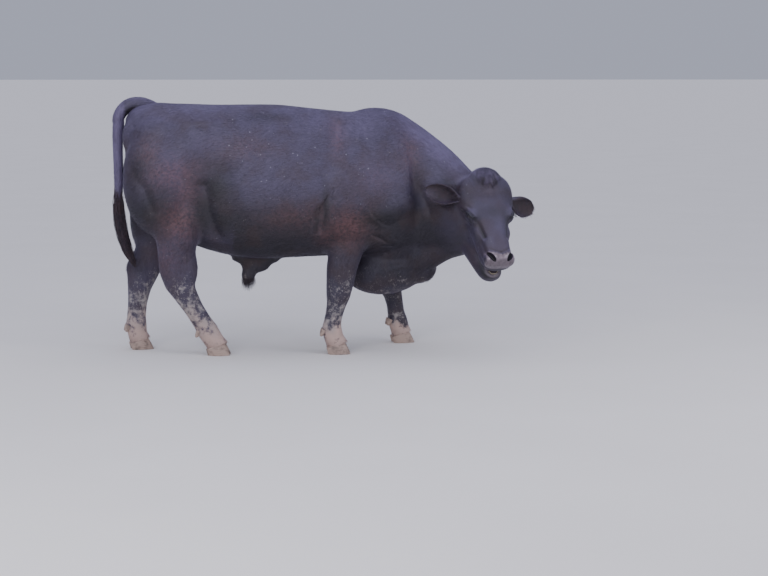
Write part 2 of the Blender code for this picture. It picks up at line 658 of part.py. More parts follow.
def fleshed_body():
    bm = bmesh.new()
    add_trunk(bm)
    add_neck(bm)
    add_head(bm)
    add_legs(bm)
    body = from_bmesh("body", bm)
    remesh(body, VOXEL)
    points, _ = mesh_arrays(body.data)
    on_legs = np.clip((points[:, 2] - 0.30) / 0.3, 0.3, 1.0)
    relax(body.data, 50, np.minimum(on_legs, 1.0 - 0.80 * near_head(points, HEAD_REACH)))
    sculpt(body.data, sculpted_lines())
    relax(body.data, 4, np.full(len(points), 0.6))
    thin_out(body, HEAD_TRIANGLES, near_head(points, HEAD_REACH) > 0.5)
    points, _ = mesh_arrays(body.data)
    thin_out(body, BODY_TRIANGLES, near_head(points, HEAD_REACH) <= 0.5)
    return body


def slab(centre, facing, wide, high, thick=GAP):
    """A thin closed sheet: wide along its level axis, high along the other."""
    facing = Vector(facing).normalized()
    level = UP.cross(facing)
    level = Vector((0.0, 1.0, 0.0)) if level.length < 1e-6 else level.normalized()
    rise = facing.cross(level)
    turn = Matrix([level, rise, facing]).transposed().to_4x4()
    bm = bmesh.new()
    matrix = Matrix.Translation(Vector(centre)) @ turn @ Matrix.Diagonal((wide, high, thick, 1.0))
    bmesh.ops.create_cube(bm, size=1.0, matrix=matrix)
    return from_bmesh("slab", bm)


def boolean(obj, others, operation, solver="EXACT"):
    """Applies one Boolean with all the others to obj, and removes them."""
    group = bpy.data.collections.new("others")
    bpy.context.scene.collection.children.link(group)
    for other in others:
        group.objects.link(other)
    modifier = obj.modifiers.new("boolean", "BOOLEAN")
    modifier.operation = operation
    modifier.solver = solver
    modifier.operand_type = "COLLECTION"
    modifier.collection = group
    apply_modifiers(obj)
    for other in others:
        bpy.data.objects.remove(other, do_unlink=True)
    bpy.data.collections.remove(group)


def islands(mesh):
    """The connected pieces of a mesh, each as a list of its vertex numbers."""
    parent = list(range(len(mesh.vertices)))

    def root(vert):
        while parent[vert] != vert:
            parent[vert] = parent[parent[vert]]
            vert = parent[vert]
        return vert

    for edge in mesh.edges:
        first, second = (root(vert) for vert in edge.vertices)
        parent[max(first, second)] = min(first, second)
    found = {}
    for vert in range(len(parent)):
        found.setdefault(root(vert), []).append(vert)
    return list(found.values())


def piece_of(mesh, verts, name):
    """A new object of some whole islands of a mesh."""
    bm = bmesh.new()
    bm.from_mesh(mesh)
    kept = set(verts)
    bmesh.ops.delete(bm, geom=[v for v in bm.verts if v.index not in kept], context="VERTS")
    return from_bmesh(name, bm)


def volume_of(mesh, verts):
    kept = set(verts)
    mesh.calc_loop_triangles()
    total = 0.0
    for triangle in mesh.loop_triangles:
        if triangle.vertices[0] in kept:
            a, b, c = (mesh.vertices[vert].co for vert in triangle.vertices)
            total += a.dot(b.cross(c)) / 6.0
    return total


def keep_largest(obj):
    found = islands(obj.data)
    if len(found) > 1:
        best = max(found, key=lambda verts: volume_of(obj.data, verts))
        kept = piece_of(obj.data, best, "kept")
        obj.data = kept.data
        bpy.data.objects.remove(kept, do_unlink=True)


def swollen(obj, by=GAP):
    """A copy of obj grown by a hair, for trimming what grows from it."""
    copy = add_object("swollen", obj.data.copy())
    bm = bmesh.new()
    bm.from_mesh(copy.data)
    bm.normal_update()
    moves = [vert.normal * by * 1.15 for vert in bm.verts]
    for vert, move in zip(bm.verts, moves):
        vert.co += move
    bm.to_mesh(copy.data)
    bm.free()
    return copy


def leg_cuts():
    """Above each leg a sloping cut, and a standing one on its inner side."""
    cuts = []
    for side in (RIGHT, LEFT):
        spot = Vector((0.420, (FORE_CLEFT + 0.16) * side, ELBOW))
        cuts.append(slab(spot, (0.0, 0.0, 1.0), 0.32, 0.80))
        inner = Vector((spot.x, FORE_CLEFT * side, ELBOW - 0.125))
        cuts.append(slab(inner, (0.0, 1.0, 0.0), 0.80, 0.27))
    for side, front, back in HIND_TOPS:
        middle = Vector(((front[0] + back[0]) / 2, 0.20 * side, (front[1] + back[1]) / 2))
        along = Vector((front[0] - back[0], 0.0, front[1] - back[1]))
        cuts.append(slab(middle, along.cross(Vector((0, 1, 0))), 0.30, along.length))
        inner = Vector((middle.x, 0.080 * side, middle.z - 0.02))
        cuts.append(slab(inner, (0.0, 1.0, 0.0), abs(along.x) + 0.02, 0.46))
    return cuts


def coronet(foot):
    """Middle of the hoof's top plane and its unit slope forwards, for a named foot."""
    x, y, heading = FEET[foot]
    turn = math.radians(heading)
    ahead = Vector((math.cos(turn), math.sin(turn), 0.0))
    rise = (TOE_HEIGHT - HEEL_HEIGHT) / (0.70 * CLAW_LENGTH)
    middle = Vector((x, y, (TOE_HEIGHT + HEEL_HEIGHT) / 2)) - ahead * 0.010
    return middle, ahead, (ahead + UP * rise).normalized()


def foot_trims():
    """Blocks under each coronet, which square the leg ends off to meet the claws."""
    trims = []
    for foot in FEET:
        middle, ahead, slope = coronet(foot)
        level = UP.cross(ahead)
        facing = slope.cross(level)
        deep = 0.12
        spot = middle + facing * (GAP - deep / 2)
        trims.append(slab(spot, facing, 0.22, 0.26, deep))
    return trims


def head_ball(name, spot, radii, tilt):
    bm = bmesh.new()
    matrix = head_matrix(spot, radii, tilt)
    bmesh.ops.create_icosphere(bm, subdivisions=2, radius=1.0, matrix=matrix)
    return from_bmesh(name, bm)


def head_cuts():
    """Behind the head, behind the lower lip, the eye sockets, lid openings and nostrils."""
    down_axis, out_axis, left_axis = head_axes()
    facing = (down_axis * 0.615 + out_axis * 0.788).normalized()
    cuts = [slab(on_head(0.150, -0.225, 0.0), facing, 0.74, 0.80)]
    cuts.append(slab(on_head(0.520, LIP_LINE, 0.0), out_axis, 0.24, 0.23))
    cuts.append(slab(on_head(0.410, LIP_LINE - 0.100, 0.0), down_axis, 0.26, 0.202))
    for side in (RIGHT, LEFT):
        spot = (NOSTRIL[0], NOSTRIL[1], NOSTRIL[2] * side)
        cuts.append(head_ball("nostril", spot, (0.030, 0.018, 0.017), (0.0, -31.0 * side, 0.0)))
        spot = (EYE[0], EYE[1], (EYE[2] + 0.020) * side)
        cuts.append(head_ball("lid opening", spot, (0.027, 0.0095, 0.026), (0.0, 0.0, EYE_SLANT)))
        cuts.append(eyeball("socket", side, EYE_RADIUS + GAP))
    return cuts


def eyeball(name, side, radius):
    bm = bmesh.new()
    matrix = head_matrix((EYE[0], EYE[1], EYE[2] * side), (radius, radius, radius))
    bmesh.ops.create_uvsphere(bm, u_segments=14, v_segments=9, radius=1.0, matrix=matrix)
    return from_bmesh(name, bm)


def parted_flesh(body):
    """Cuts the body and names its pieces by the point of the animal each lies nearest."""
    cuts = [slab(*cut[1:]) for cut in TRUNK_CUTS]
    cuts += leg_cuts() + foot_trims() + head_cuts()
    boolean(body, cuts, "DIFFERENCE")
    spots = {
        "torso": Vector((0.0, -BARREL, 1.0)),
        "neck": Vector((*neck_place(0.5)[0][:2], 1.2)),
        "head": on_head(0.30, 0.0, 0.0),
        "lower_jaw": on_head(0.56, -0.23, 0.0),
        "sheath": Vector((-0.262, 0.0, 0.41)),
        "scrotum": Vector((TESTIS[0][0], 0.0, 0.48)),
    }
    for side, word in ((RIGHT, "right"), (LEFT, "left")):
        x, z = FORE_JOINTS[side][2]
        spots[f"foreleg_{word}"] = Vector((x, FORE_ACROSS[2] * side, z))
        x, z = HIND_JOINTS[side][2]
        spots[f"hindleg_{word}"] = Vector((x, HIND_ACROSS[2] * side, z))
    found = [verts for verts in islands(body.data) if len(verts) > 30]
    points, _ = mesh_arrays(body.data)
    made = {}
    for name, spot in spots.items():
        nearest = min(
            found, key=lambda verts: np.linalg.norm(points[verts] - np.array(spot), axis=1).min()
        )
        made[name] = piece_of(body.data, nearest, name)
    bpy.data.objects.remove(body, do_unlink=True)
    return made


def ear(side, word, head, neck):
    """A cupped leaf of skin, its hollow to the front, rooted on the head."""
    root = on_head(EAR_ROOT[0], EAR_ROOT[1], EAR_ROOT[2] * side)
    down_axis, out_axis, left_axis = head_axes()
    aside, out, down = EAR_REACH[side]
    reach = (left_axis * (aside * side) + out_axis * out + down_axis * down).normalized()
    back = (-out_axis * 0.80 - down_axis * 0.55).normalized()
    back = (back - reach * back.dot(reach)).normalized()
    broad = reach.cross(back)
    bm = bmesh.new()
    rings = []
    for place, width, hollow, wrap in EAR_PROFILE:
        skin = EAR_SKIN * (1.0 - 0.45 * place)
        half = max(EAR_WIDTH / 2 * width, skin * 0.8)
        deep = max(EAR_WIDTH * hollow, skin * 1.2)
        centre = root + reach * (EAR_LENGTH * place) - back * (0.018 * math.sin(math.pi * place))
        half_wrap = math.radians(wrap)
        angles = [half_wrap * (2.0 * step / (EAR_STEPS - 1) - 1.0) for step in range(EAR_STEPS)]
        outer = [broad * (half * math.sin(a)) + back * (deep * math.cos(a)) for a in angles]
        inner_half = max(half - skin, half * 0.35)
        inner_deep = max(deep - skin, deep * 0.20)
        inner = [
            broad * (inner_half * math.sin(a)) + back * (inner_deep * math.cos(a)) for a in angles
        ]
        ring = [bm.verts.new(centre + spot) for spot in outer + inner[::-1]]
        rings.append([bm.edges.new((a, b)) for a, b in zip(ring, ring[1:] + ring[:1])])
    loft(bm, rings)
    bmesh.ops.triangulate(bm, faces=bm.faces)
    made = from_bmesh(f"ear_{word}", bm)
    boolean(made, [swollen(head), swollen(neck)], "DIFFERENCE")
    keep_largest(made)
    return made


def claw(foot, place, word):
    """One claw: a flat sole, sloping toe wall and slanting top, beside the cleft."""
    x, y, heading = FEET[foot]
    middle, ahead, slope = coronet(foot)
    aside = UP.cross(ahead) * place
    levels = (0.0, 0.30, 0.65, 1.0)
    sides = 14
    bm = bmesh.new()
    rings = []
    for level in levels:
        back_slide = 0.024 * level
        length = CLAW_LENGTH * (1.0 - 0.22 * level)
        width = CLAW_WIDTH * (1.0 - 0.04 * level + 0.05 * math.sin(math.pi * level))
        ring = []
        for step in range(sides):
            angle = 2.0 * math.pi * step / sides
            fore = math.cos(angle)
            out = math.sin(angle)
            taper = 1.0 - 0.34 * max(0.0, fore) ** 2
            across = width * (0.5 + 0.5 * out * taper) if out > 0 else width * (0.5 + 0.5 * out)
            spot = Vector((x, y, 0.0)) + ahead * (fore * length / 2 - back_slide)
            spot += aside * (CLAW_GAP / 2 + across)
            along = (spot - middle).dot(ahead)
            top = middle.z + along * slope.z / slope.dot(ahead)
            ring.append(bm.verts.new(Vector((spot.x, spot.y, top * level))))
        rings.append([bm.edges.new((a, b)) for a, b in zip(ring, ring[1:] + ring[:1])])
    loft(bm, rings)
    return from_bmesh(f"claw_{foot}_{word}", bm)


def dewclaw(foot, place, word, leg, joints):
    """One of the two small horny cones behind the fetlock."""
    x, y, heading = FEET[foot]
    turn = math.radians(heading)
    ahead = Vector((math.cos(turn), math.sin(turn), 0.0))
    aside = UP.cross(ahead) * place
    fetlock = Vector((joints[3][0], y, DEWCLAW_HEIGHT))
    bm = bmesh.new()
    spot = fetlock - ahead * 0.052 + aside * 0.024
    point = (-ahead * 0.45 - UP * 0.9).normalized()
    turn_matrix = point.to_track_quat("Z", "Y").to_matrix().to_4x4()
    matrix = Matrix.Translation(spot + point * 0.004) @ turn_matrix
    bmesh.ops.create_cone(
        bm, cap_ends=True, segments=8, radius1=0.017, radius2=0.007, depth=0.042, matrix=matrix
    )
    made = from_bmesh(f"dewclaw_{foot}_{word}", bm)
    boolean(made, [swollen(leg)], "DIFFERENCE")
    keep_largest(made)
    return made


def tube(name, table, sides, square=2.0):
    """A closed tube in the body's middle plane, through rows of x, z and radius."""
    points = [Vector((x, 0.0, z)) for x, z, _ in table]
    bm = bmesh.new()
    rings = []
    for index, (_, _, radius) in enumerate(table):
        ahead = points[min(index + 1, len(points) - 1)] - points[max(index - 1, 0)]
        fore = ahead.cross(Vector((0.0, 1.0, 0.0))).normalized()
        rings.append(
            add_ring(bm, points[index], Vector((0, radius, 0)), fore * radius, square, 0.0, sides)
        )
    loft(bm, rings)
    return from_bmesh(name, bm)


def lock(root, tip, sag, broad, width, thick):
    """A flat tapered lock of hair from root to tip, bowed by sag, its flat side along broad."""
    run = (tip - root).normalized()
    broad = (broad - run * broad.dot(run)).normalized()
    flat = run.cross(broad)
    bm = bmesh.new()
    rings = []
    for place, share in LOCK_SHAPE:
        centre = root.lerp(tip, place) + sag * math.sin(math.pi * place)
        half = width / 2 * share
        rings.append(add_ring(bm, centre, broad * half, flat * (thick / 2 * share), sides=5))
    loft(bm, rings)
    return from_bmesh("lock", bm)


def fuse(obj, locks):
    """Unites locks with what they grow from, as one closed body."""
    boolean(obj, locks, "UNION")
    keep_largest(obj)


def switch_locks(rng):
    rows = smooth_rows(SWITCH, 4)
    last = len(rows) - 1
    locks = []
    for number in range(SWITCH_LOCKS):
        share = (number + 0.5) / SWITCH_LOCKS
        angle = 2.4 * number + rng.uniform(-0.3, 0.3)
        start = 0.04 + 0.62 * share**0.9
        end = min(1.0, start + rng.uniform(0.30, 0.42))
        x, z, radius = rows[round(start * last)]
        tip_x, tip_z, tip_radius = rows[round(end * last)]
        ahead = Vector((tip_x - x, 0.0, tip_z - z)).normalized()
        around = ahead.cross(Vector((0.0, 1.0, 0.0)))
        out = around * math.cos(angle) + Vector((0.0, math.sin(angle), 0.0))
        root = Vector((x, 0.0, z)) + out * (radius * 0.45)
        tip = Vector((tip_x, 0.0, tip_z)) + out * (tip_radius * rng.uniform(0.75, 1.05))
        tip += ahead * rng.uniform(0.0, 0.030)
        sag = out * (0.32 * radius)
        locks.append(lock(root, tip, sag, ahead.cross(out), rng.uniform(0.024, 0.034), 0.013))
    return locks


def on_face(tree, along, aside, out):
    """The point of the face's skin at a place of the head, raised out of it."""
    _, out_axis, _ = head_axes()
    hit, normal, _, _ = tree.ray_cast(on_head(along, 0.20, aside), -out_axis)
    return hit + normal * out


def poll_locks(head, rng):
    """The forelock: short locks over the poll that fall on the forehead."""
    _, out_axis, left_axis = head_axes()
    tree = BVHTree.FromPolygons(
        [vert.co for vert in head.data.vertices], [list(face.vertices) for face in head.data.polygons]
    )
    locks = []
    for number in range(POLL_LOCKS):
        spread = math.sqrt((number + 0.5) / POLL_LOCKS)
        aside = 0.072 * spread * math.sin(2.4 * number)
        along = 0.062 - 0.042 * spread * math.cos(2.4 * number)
        root = on_face(tree, along, aside, -0.007)
        aside = aside * 1.35 + rng.uniform(-0.012, 0.012)
        tip = on_face(tree, along + rng.uniform(0.050, 0.070), aside, 0.006)
        sag = out_axis * rng.uniform(0.010, 0.015)
        locks.append(lock(root, tip, sag, left_axis, rng.uniform(0.017, 0.024), 0.012))
    return locks


def sheath_locks(rng):
    locks = []
    for number in range(SHEATH_LOCKS):
        angle = 2.4 * number
        spread = math.sqrt((number + 0.5) / SHEATH_LOCKS)
        aside = Vector((math.cos(angle), math.sin(angle), 0.0)) * spread
        root = Vector((-0.258, 0.0, 0.420)) + aside * 0.018
        drop = Vector((-0.010, 0.0, -0.068 + 0.020 * spread - 0.010 * rng.random()))
        locks.append(lock(root, root + drop + aside * 0.006, aside * 0.005,
                          UP.cross(aside), 0.016, 0.009))
    return locks


def incisors(jaw):
    """The arched row of lower front teeth, in one body, its root trimmed to the jaw."""
    down_axis, out_axis, left_axis = head_axes()
    bm = bmesh.new()
    rings = []
    for step in range(2 * TEETH + 1):
        turn = math.radians(80.0 * (step / TEETH - 1.0))
        outward = down_axis * math.cos(turn) + left_axis * math.sin(turn)
        low = 1.0 if step % 2 else 0.72
        centre = on_head(TOOTH_ARCH[0], TOOTH_ARCH[1], 0.0) + outward * TOOTH_ARCH[2]
        rise = out_axis * (TOOTH_HEIGHT / 2 * low)
        rings.append(add_ring(bm, centre, outward * (TOOTH_DEPTH / 2 * low), rise, 3.0, 0.0, 8))
    loft(bm, rings)
    made = from_bmesh("incisors", bm)
    boolean(made, [swollen(jaw)], "DIFFERENCE")
    keep_largest(made)
    return made


def tail_and_switch(torso, rng):
    tail = tube("tail", smooth_rows(TAIL, 2), 14)
    boolean(tail, [swollen(torso)], "DIFFERENCE")
    keep_largest(tail)
    rows = smooth_rows(SWITCH, 2)
    core = [(x, z, radius * max(0.70, 1.0 - 0.1 * row)) for row, (x, z, radius) in enumerate(rows)]
    switch = tube("tail_switch", core, 10)
    fuse(switch, switch_locks(rng))
    boolean(switch, [swollen(tail)], "DIFFERENCE")
    keep_largest(switch)
    return [tail, switch]


def finish_of(name):
    if name.startswith("eye"):
        return "eye"
    if name == "incisors":
        return "tooth"
    if "claw" in name:
        return "horn"
    return "hair" if name == "tail_switch" else "coat"


def finish(node):
    """Gives the node its material, and shades it smooth between its sharp edges."""
    word = finish_of(node.name)
    material = bpy.data.materials.get(word)
    if material is None:
        material = bpy.data.materials.new(word)
        material.use_nodes = True
        colour, roughness = FINISHES[word]
        shader = material.node_tree.nodes["Principled BSDF"]
        shader.inputs["Base Color"].default_value = (*colour, 1.0)
        shader.inputs["Roughness"].default_value = roughness
        shader.inputs["Metallic"].default_value = 0.0
    node.data.materials.clear()
    node.data.materials.append(material)
    node.data.shade_smooth()
    node.data.set_sharp_from_angle(angle=math.radians(SHARP_ANGLE))


def stand_on_origin(nodes):
    """Moves the whole bull so that the origin lies under the middle of its bounding box."""
    points = np.concatenate([mesh_arrays(node.data)[0] for node in nodes])
    middle = (points.min(axis=0) + points.max(axis=0)) / 2
    shift = Vector((-middle[0], -middle[1], 0.0))
    for node in nodes:
        node.data.transform(Matrix.Translation(shift))
    return shift


def main():
    clear_scene()
    body = fleshed_body()
    flesh = parted_flesh(body)
    nodes = list(flesh.values())
    for side, word in ((RIGHT, "right"), (LEFT, "left")):
        nodes.append(ear(side, word, flesh["head"], flesh["neck"]))
        nodes.append(eyeball(f"eye_{word}", side, EYE_RADIUS))
        for end, joints in (("fore", FORE_JOINTS), ("hind", HIND_JOINTS)):
            foot = f"{end}_{word}"
            for place, claw_word in ((side, "outer"), (-side, "inner")):
                nodes.append(claw(foot, place, claw_word))
                leg = flesh[f"{end}leg_{word}"]
                nodes.append(dewclaw(foot, place, claw_word, leg, joints[side]))
    rng = np.random.default_rng(SEED)
    nodes += tail_and_switch(flesh["torso"], rng)
    fuse(flesh["head"], poll_locks(flesh["head"], rng))
    fuse(flesh["sheath"], sheath_locks(rng))
    nodes.append(incisors(flesh["lower_jaw"]))
    for node in nodes:
        finish(node)
    return stand_on_origin(nodes)


SHIFT = main()
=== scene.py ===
"""The look of an Angus bull, a life-size museum model in a pasture stride.

Metres. One skin covers the flesh; the short coat is bump in it and many small tufts over it.
Forelock, ear fringes, lashes, sheath hair and tail switch are longer strands. Eyes, claws and
teeth are pieces of their own. The tables give the form in the maker's frame, and every
finished piece is then moved by the same short step to the model's frame.
"""

import math

import bmesh
import bpy
import numpy as np
from mathutils import Euler, Matrix, Vector
from mathutils.bvhtree import BVHTree


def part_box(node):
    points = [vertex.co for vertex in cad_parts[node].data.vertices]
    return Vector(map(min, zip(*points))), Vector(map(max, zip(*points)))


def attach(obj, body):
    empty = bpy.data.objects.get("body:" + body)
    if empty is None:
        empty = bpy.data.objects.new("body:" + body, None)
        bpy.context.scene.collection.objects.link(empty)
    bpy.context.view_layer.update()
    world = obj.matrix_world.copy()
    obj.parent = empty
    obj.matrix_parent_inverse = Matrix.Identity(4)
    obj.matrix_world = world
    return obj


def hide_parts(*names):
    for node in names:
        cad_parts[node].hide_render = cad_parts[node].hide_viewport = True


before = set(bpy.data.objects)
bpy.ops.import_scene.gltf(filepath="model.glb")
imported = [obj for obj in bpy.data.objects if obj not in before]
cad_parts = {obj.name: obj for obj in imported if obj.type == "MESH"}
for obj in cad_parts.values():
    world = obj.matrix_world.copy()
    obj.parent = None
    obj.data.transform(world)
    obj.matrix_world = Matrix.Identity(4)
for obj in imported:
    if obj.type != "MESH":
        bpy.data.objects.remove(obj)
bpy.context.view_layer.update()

# Driving dimensions
LOIN = 1.42                # height of the back over the loin
BELLY = 0.535              # height of the belly's lowest stretch
BARREL = 0.355             # half the width of the rib cage
HEAD_LENGTH = 0.575        # top of the poll to the front of the muzzle
HEAD_TURN = -78.5          # degrees from +X to where the face points, to the bull's right
HEAD_DROP = 61.0           # degrees that the line of the face drops below level
POLL = Vector((1.066, -0.320, 1.050))
EYE_RADIUS = 0.021
FORE_SPREAD = 0.200        # half the distance between the fore feet
HIND_SPREAD = 0.150
CLAW_LENGTH = 0.128
CLAW_WIDTH = 0.058
CLAW_GAP = 0.006           # between the two claws of a foot
TOE_HEIGHT = 0.078         # of a claw at its front, under the hair
HEEL_HEIGHT = 0.044
DEWCLAW_HEIGHT = 0.126
TAIL_RADIUS = 0.030
SWITCH_TIP = 0.490         # height of the lowest hair of the tail
EAR_LENGTH = 0.225
EAR_WIDTH = 0.116
EAR_SKIN = 0.008           # thickness of an ear at its root

# Modelling sizes
VOXEL = 0.005              # grain of the clay
RELAX_ROUNDS = 98
SIDES = 28                 # of a lofted ring
BODY_TRIANGLES = 88000
HEAD_TRIANGLES = 80000
HEAD_REACH = 0.30          # of the head's finer clay, about the middle of the face
FACE_REACH = 0.24          # of the face's short hair

SEED = 11

UP = Vector((0.0, 0.0, 1.0))
ASIDE = Vector((0.0, 1.0, 0.0))
DOWN = np.array([0.0, 0.0, -1.0])
RIGHT, LEFT = -1, 1

# Trunk, tail end to chest: x, top, bottom, half width, squareness, pinch.
# Pinch above 0 narrows a ring downwards, and below 0 upwards.
TRUNK = (
    (-0.948, 1.340, 1.060, 0.100, 2.2, 0.00),
    (-0.905, 1.402, 0.900, 0.190, 2.3, 0.00),
    (-0.800, LOIN + 0.012, 0.760, 0.250, 2.5, 0.05),
    (-0.680, LOIN + 0.008, 0.670, 0.280, 2.7, 0.06),
    (-0.540, LOIN + 0.004, 0.606, 0.295, 2.7, 0.03),
    (-0.400, LOIN, 0.562, 0.315, 2.6, -0.03),
    (-0.250, LOIN + 0.002, BELLY + 0.004, 0.340, 2.4, -0.08),
    (-0.080, LOIN, BELLY, BARREL, 2.3, -0.12),
    (0.080, LOIN - 0.016, BELLY + 0.006, 0.355, 2.2, -0.16),
    (0.230, LOIN - 0.032, BELLY + 0.010, 0.348, 2.2, -0.18),
    (0.380, LOIN - 0.042, BELLY + 0.012, 0.338, 2.1, -0.16),
    (0.520, LOIN - 0.028, BELLY + 0.014, 0.312, 2.1, -0.12),
    (0.650, LOIN - 0.075, BELLY + 0.020, 0.262, 2.1, -0.08),
    (0.740, LOIN - 0.150, 0.590, 0.196, 2.0, -0.04),
    (0.800, LOIN - 0.230, 0.680, 0.110, 2.0, 0.00),
)

# Neck: share of its length, crest height, underline height, half width, pinch.
NECK_ROOT = Vector((0.560, 0.0, 0.0))
NECK_HEADINGS = (-3.0, -66.0)
NECK_REACH = 0.615
NECK = (
    (0.00, 1.392, 0.565, 0.250, -0.02),
    (0.22, 1.328, 0.560, 0.222, 0.10),
    (0.42, 1.240, 0.550, 0.192, 0.16),
    (0.60, 1.153, 0.560, 0.168, 0.16),
    (0.78, 1.052, 0.580, 0.150, 0.12),
    (0.92, 1.000, 0.620, 0.132, 0.06),
    (1.00, 0.975, 0.690, 0.105, 0.00),
)

# Dewlap, the loose fold under the neck: share of the neck's length, top, underline, half width.
DEWLAP = (
    (0.10, 0.640, 0.420, 0.086),
    (0.26, 0.660, 0.412, 0.090),
    (0.42, 0.680, 0.462, 0.084),
    (0.60, 0.700, 0.523, 0.076),
    (0.78, 0.720, 0.558, 0.070),
    (0.92, 0.740, 0.588, 0.068),
    (1.00, 0.740, 0.620, 0.060),
)

# Skull and upper jaw: along the face, face surface, underside, half width, squareness, pinch.
SKULL = (
    (0.004, -0.034, -0.100, 0.056, 2.2, 0.00),
    (0.030, 0.000, -0.160, 0.122, 2.4, 0.05),
    (0.080, 0.010, -0.215, 0.156, 2.6, 0.10),
    (0.150, 0.004, -0.258, 0.163, 2.8, 0.12),
    (0.220, 0.000, -0.280, 0.148, 2.8, 0.14),
    (0.280, -0.006, -0.278, 0.128, 2.6, 0.06),
    (0.340, -0.008, -0.256, 0.112, 2.5, 0.00),
    (0.400, -0.006, -0.216, 0.099, 2.5, -0.02),
    (0.450, -0.004, -0.176, 0.091, 2.6, -0.06),
    (0.500, -0.002, -0.150, 0.089, 2.7, -0.06),
    (0.540, -0.010, -0.140, 0.087, 2.7, -0.06),
    (0.566, -0.030, -0.130, 0.073, 2.4, -0.04),
    (HEAD_LENGTH, -0.050, -0.108, 0.050, 2.0, 0.00),
)

# Lower jaw, hanging a little open: along the face, top, underside, half width.
JAW = (
    (0.190, -0.190, -0.325, 0.122),
    (0.280, -0.185, -0.350, 0.122),
    (0.370, -0.172, -0.346, 0.110),
    (0.440, -0.164, -0.322, 0.092),
    (0.510, -0.160, -0.286, 0.077),
    (0.560, -0.158, -0.258, 0.066),
    (0.590, -0.172, -0.234, 0.046),
)
JAW_SQUARENESS = 2.4

# Legs: joints from the top down as (x, z), with the lateral place of each.
FORE_JOINTS = {
    RIGHT: ((0.430, 0.860), (0.290, 0.620), (0.240, 0.330), (0.203, 0.140), (0.238, 0.050)),
    LEFT: ((0.450, 0.860), (0.440, 0.620), (0.598, 0.335), (0.640, 0.140), (0.668, 0.050)),
}
FORE_ACROSS = (0.190, 0.208, 0.200, FORE_SPREAD, FORE_SPREAD)
HIND_JOINTS = {
    RIGHT: ((-0.710, 0.950), (-0.668, 0.680), (-0.667, 0.445), (-0.503, 0.142), (-0.444, 0.050)),
    LEFT: ((-0.740, 0.950), (-0.745, 0.680), (-0.862, 0.445), (-0.904, 0.142), (-0.878, 0.050)),
}
HIND_ACROSS = (0.170, 0.185, 0.160, HIND_SPREAD, HIND_SPREAD)

# Leg girths: joint number and share beyond it, half depth, half width.
FORE_GIRTHS = (
    (0.0, 0.130, 0.085),
    (0.6, 0.122, 0.082),
    (1.0, 0.106, 0.076),
    (1.4, 0.092, 0.068),
    (1.75, 0.080, 0.062),
    (2.0, 0.071, 0.062),
    (2.2, 0.058, 0.053),
    (2.5, 0.052, 0.044),
    (2.8, 0.054, 0.045),
    (3.0, 0.062, 0.053),
    (3.5, 0.058, 0.055),
    (4.0, 0.062, 0.062),
    (4.4, 0.060, 0.060),
)
HIND_GIRTHS = (
    (0.0, 0.200, 0.105),
    (0.5, 0.165, 0.100),
    (1.0, 0.125, 0.086),
    (1.5, 0.108, 0.068),
    (1.85, 0.098, 0.058),
    (2.1, 0.088, 0.056),
    (2.3, 0.070, 0.051),
    (2.55, 0.058, 0.045),
    (2.8, 0.057, 0.045),
    (3.0, 0.064, 0.053),
    (3.5, 0.058, 0.055),
    (4.0, 0.062, 0.062),
    (4.4, 0.060, 0.060),
)

# Feet: middle of the hoof in x and y, and the way the toes point in degrees from +X.
FEET = {
    "fore_right": (0.246, -FORE_SPREAD, -6.0),
    "fore_left": (0.676, FORE_SPREAD, 4.0),
    "hind_right": (-0.436, -HIND_SPREAD, -8.0),
    "hind_left": (-0.870, HIND_SPREAD, 8.0),
}

# Muscle and bone masses on each side: centre, radii, turn in degrees about X, Y and Z.
SIDE_MASSES = (
    ("shoulder blade", (0.430, 0.165, 1.040), (0.140, 0.125, 0.270), (0, -24, 0)),
    ("upper arm", (0.460, 0.225, 0.830), (0.200, 0.105, 0.140), (0, -28, 0)),
    ("triceps", (0.330, 0.235, 0.840), (0.150, 0.105, 0.220), (0, 14, 0)),
    ("point of shoulder", (0.610, 0.175, 0.860), (0.095, 0.105, 0.130), (0, 0, 0)),
    ("hook bone", (-0.500, 0.200, 1.295), (0.130, 0.070, 0.066), (0, 6, 0)),
    ("pin bone", (-0.912, 0.112, 1.240), (0.058, 0.052, 0.100), (0, 0, 0)),
    ("rump", (-0.720, 0.150, 1.210), (0.210, 0.130, 0.170), (0, 0, 0)),
)
THIGH_MASSES = {
    RIGHT: (
        ("round", (-0.752, 0.180, 0.990), (0.220, 0.125, 0.330), (0, -4, 0)),
        ("stifle", (-0.615, 0.195, 0.760), (0.085, 0.100, 0.190), (0, 4, 0)),
        ("gaskin", (-0.625, 0.172, 0.520), (0.076, 0.055, 0.150), (0, -4, 0)),
    ),
    LEFT: (
        ("round", (-0.776, 0.180, 0.990), (0.198, 0.125, 0.330), (0, 0, 0)),
        ("hamstring", (-0.857, 0.180, 0.765), (0.078, 0.078, 0.200), (0, 0, 0)),
        ("stifle", (-0.610, 0.195, 0.780), (0.130, 0.100, 0.170), (0, 16, 0)),
    ),
}
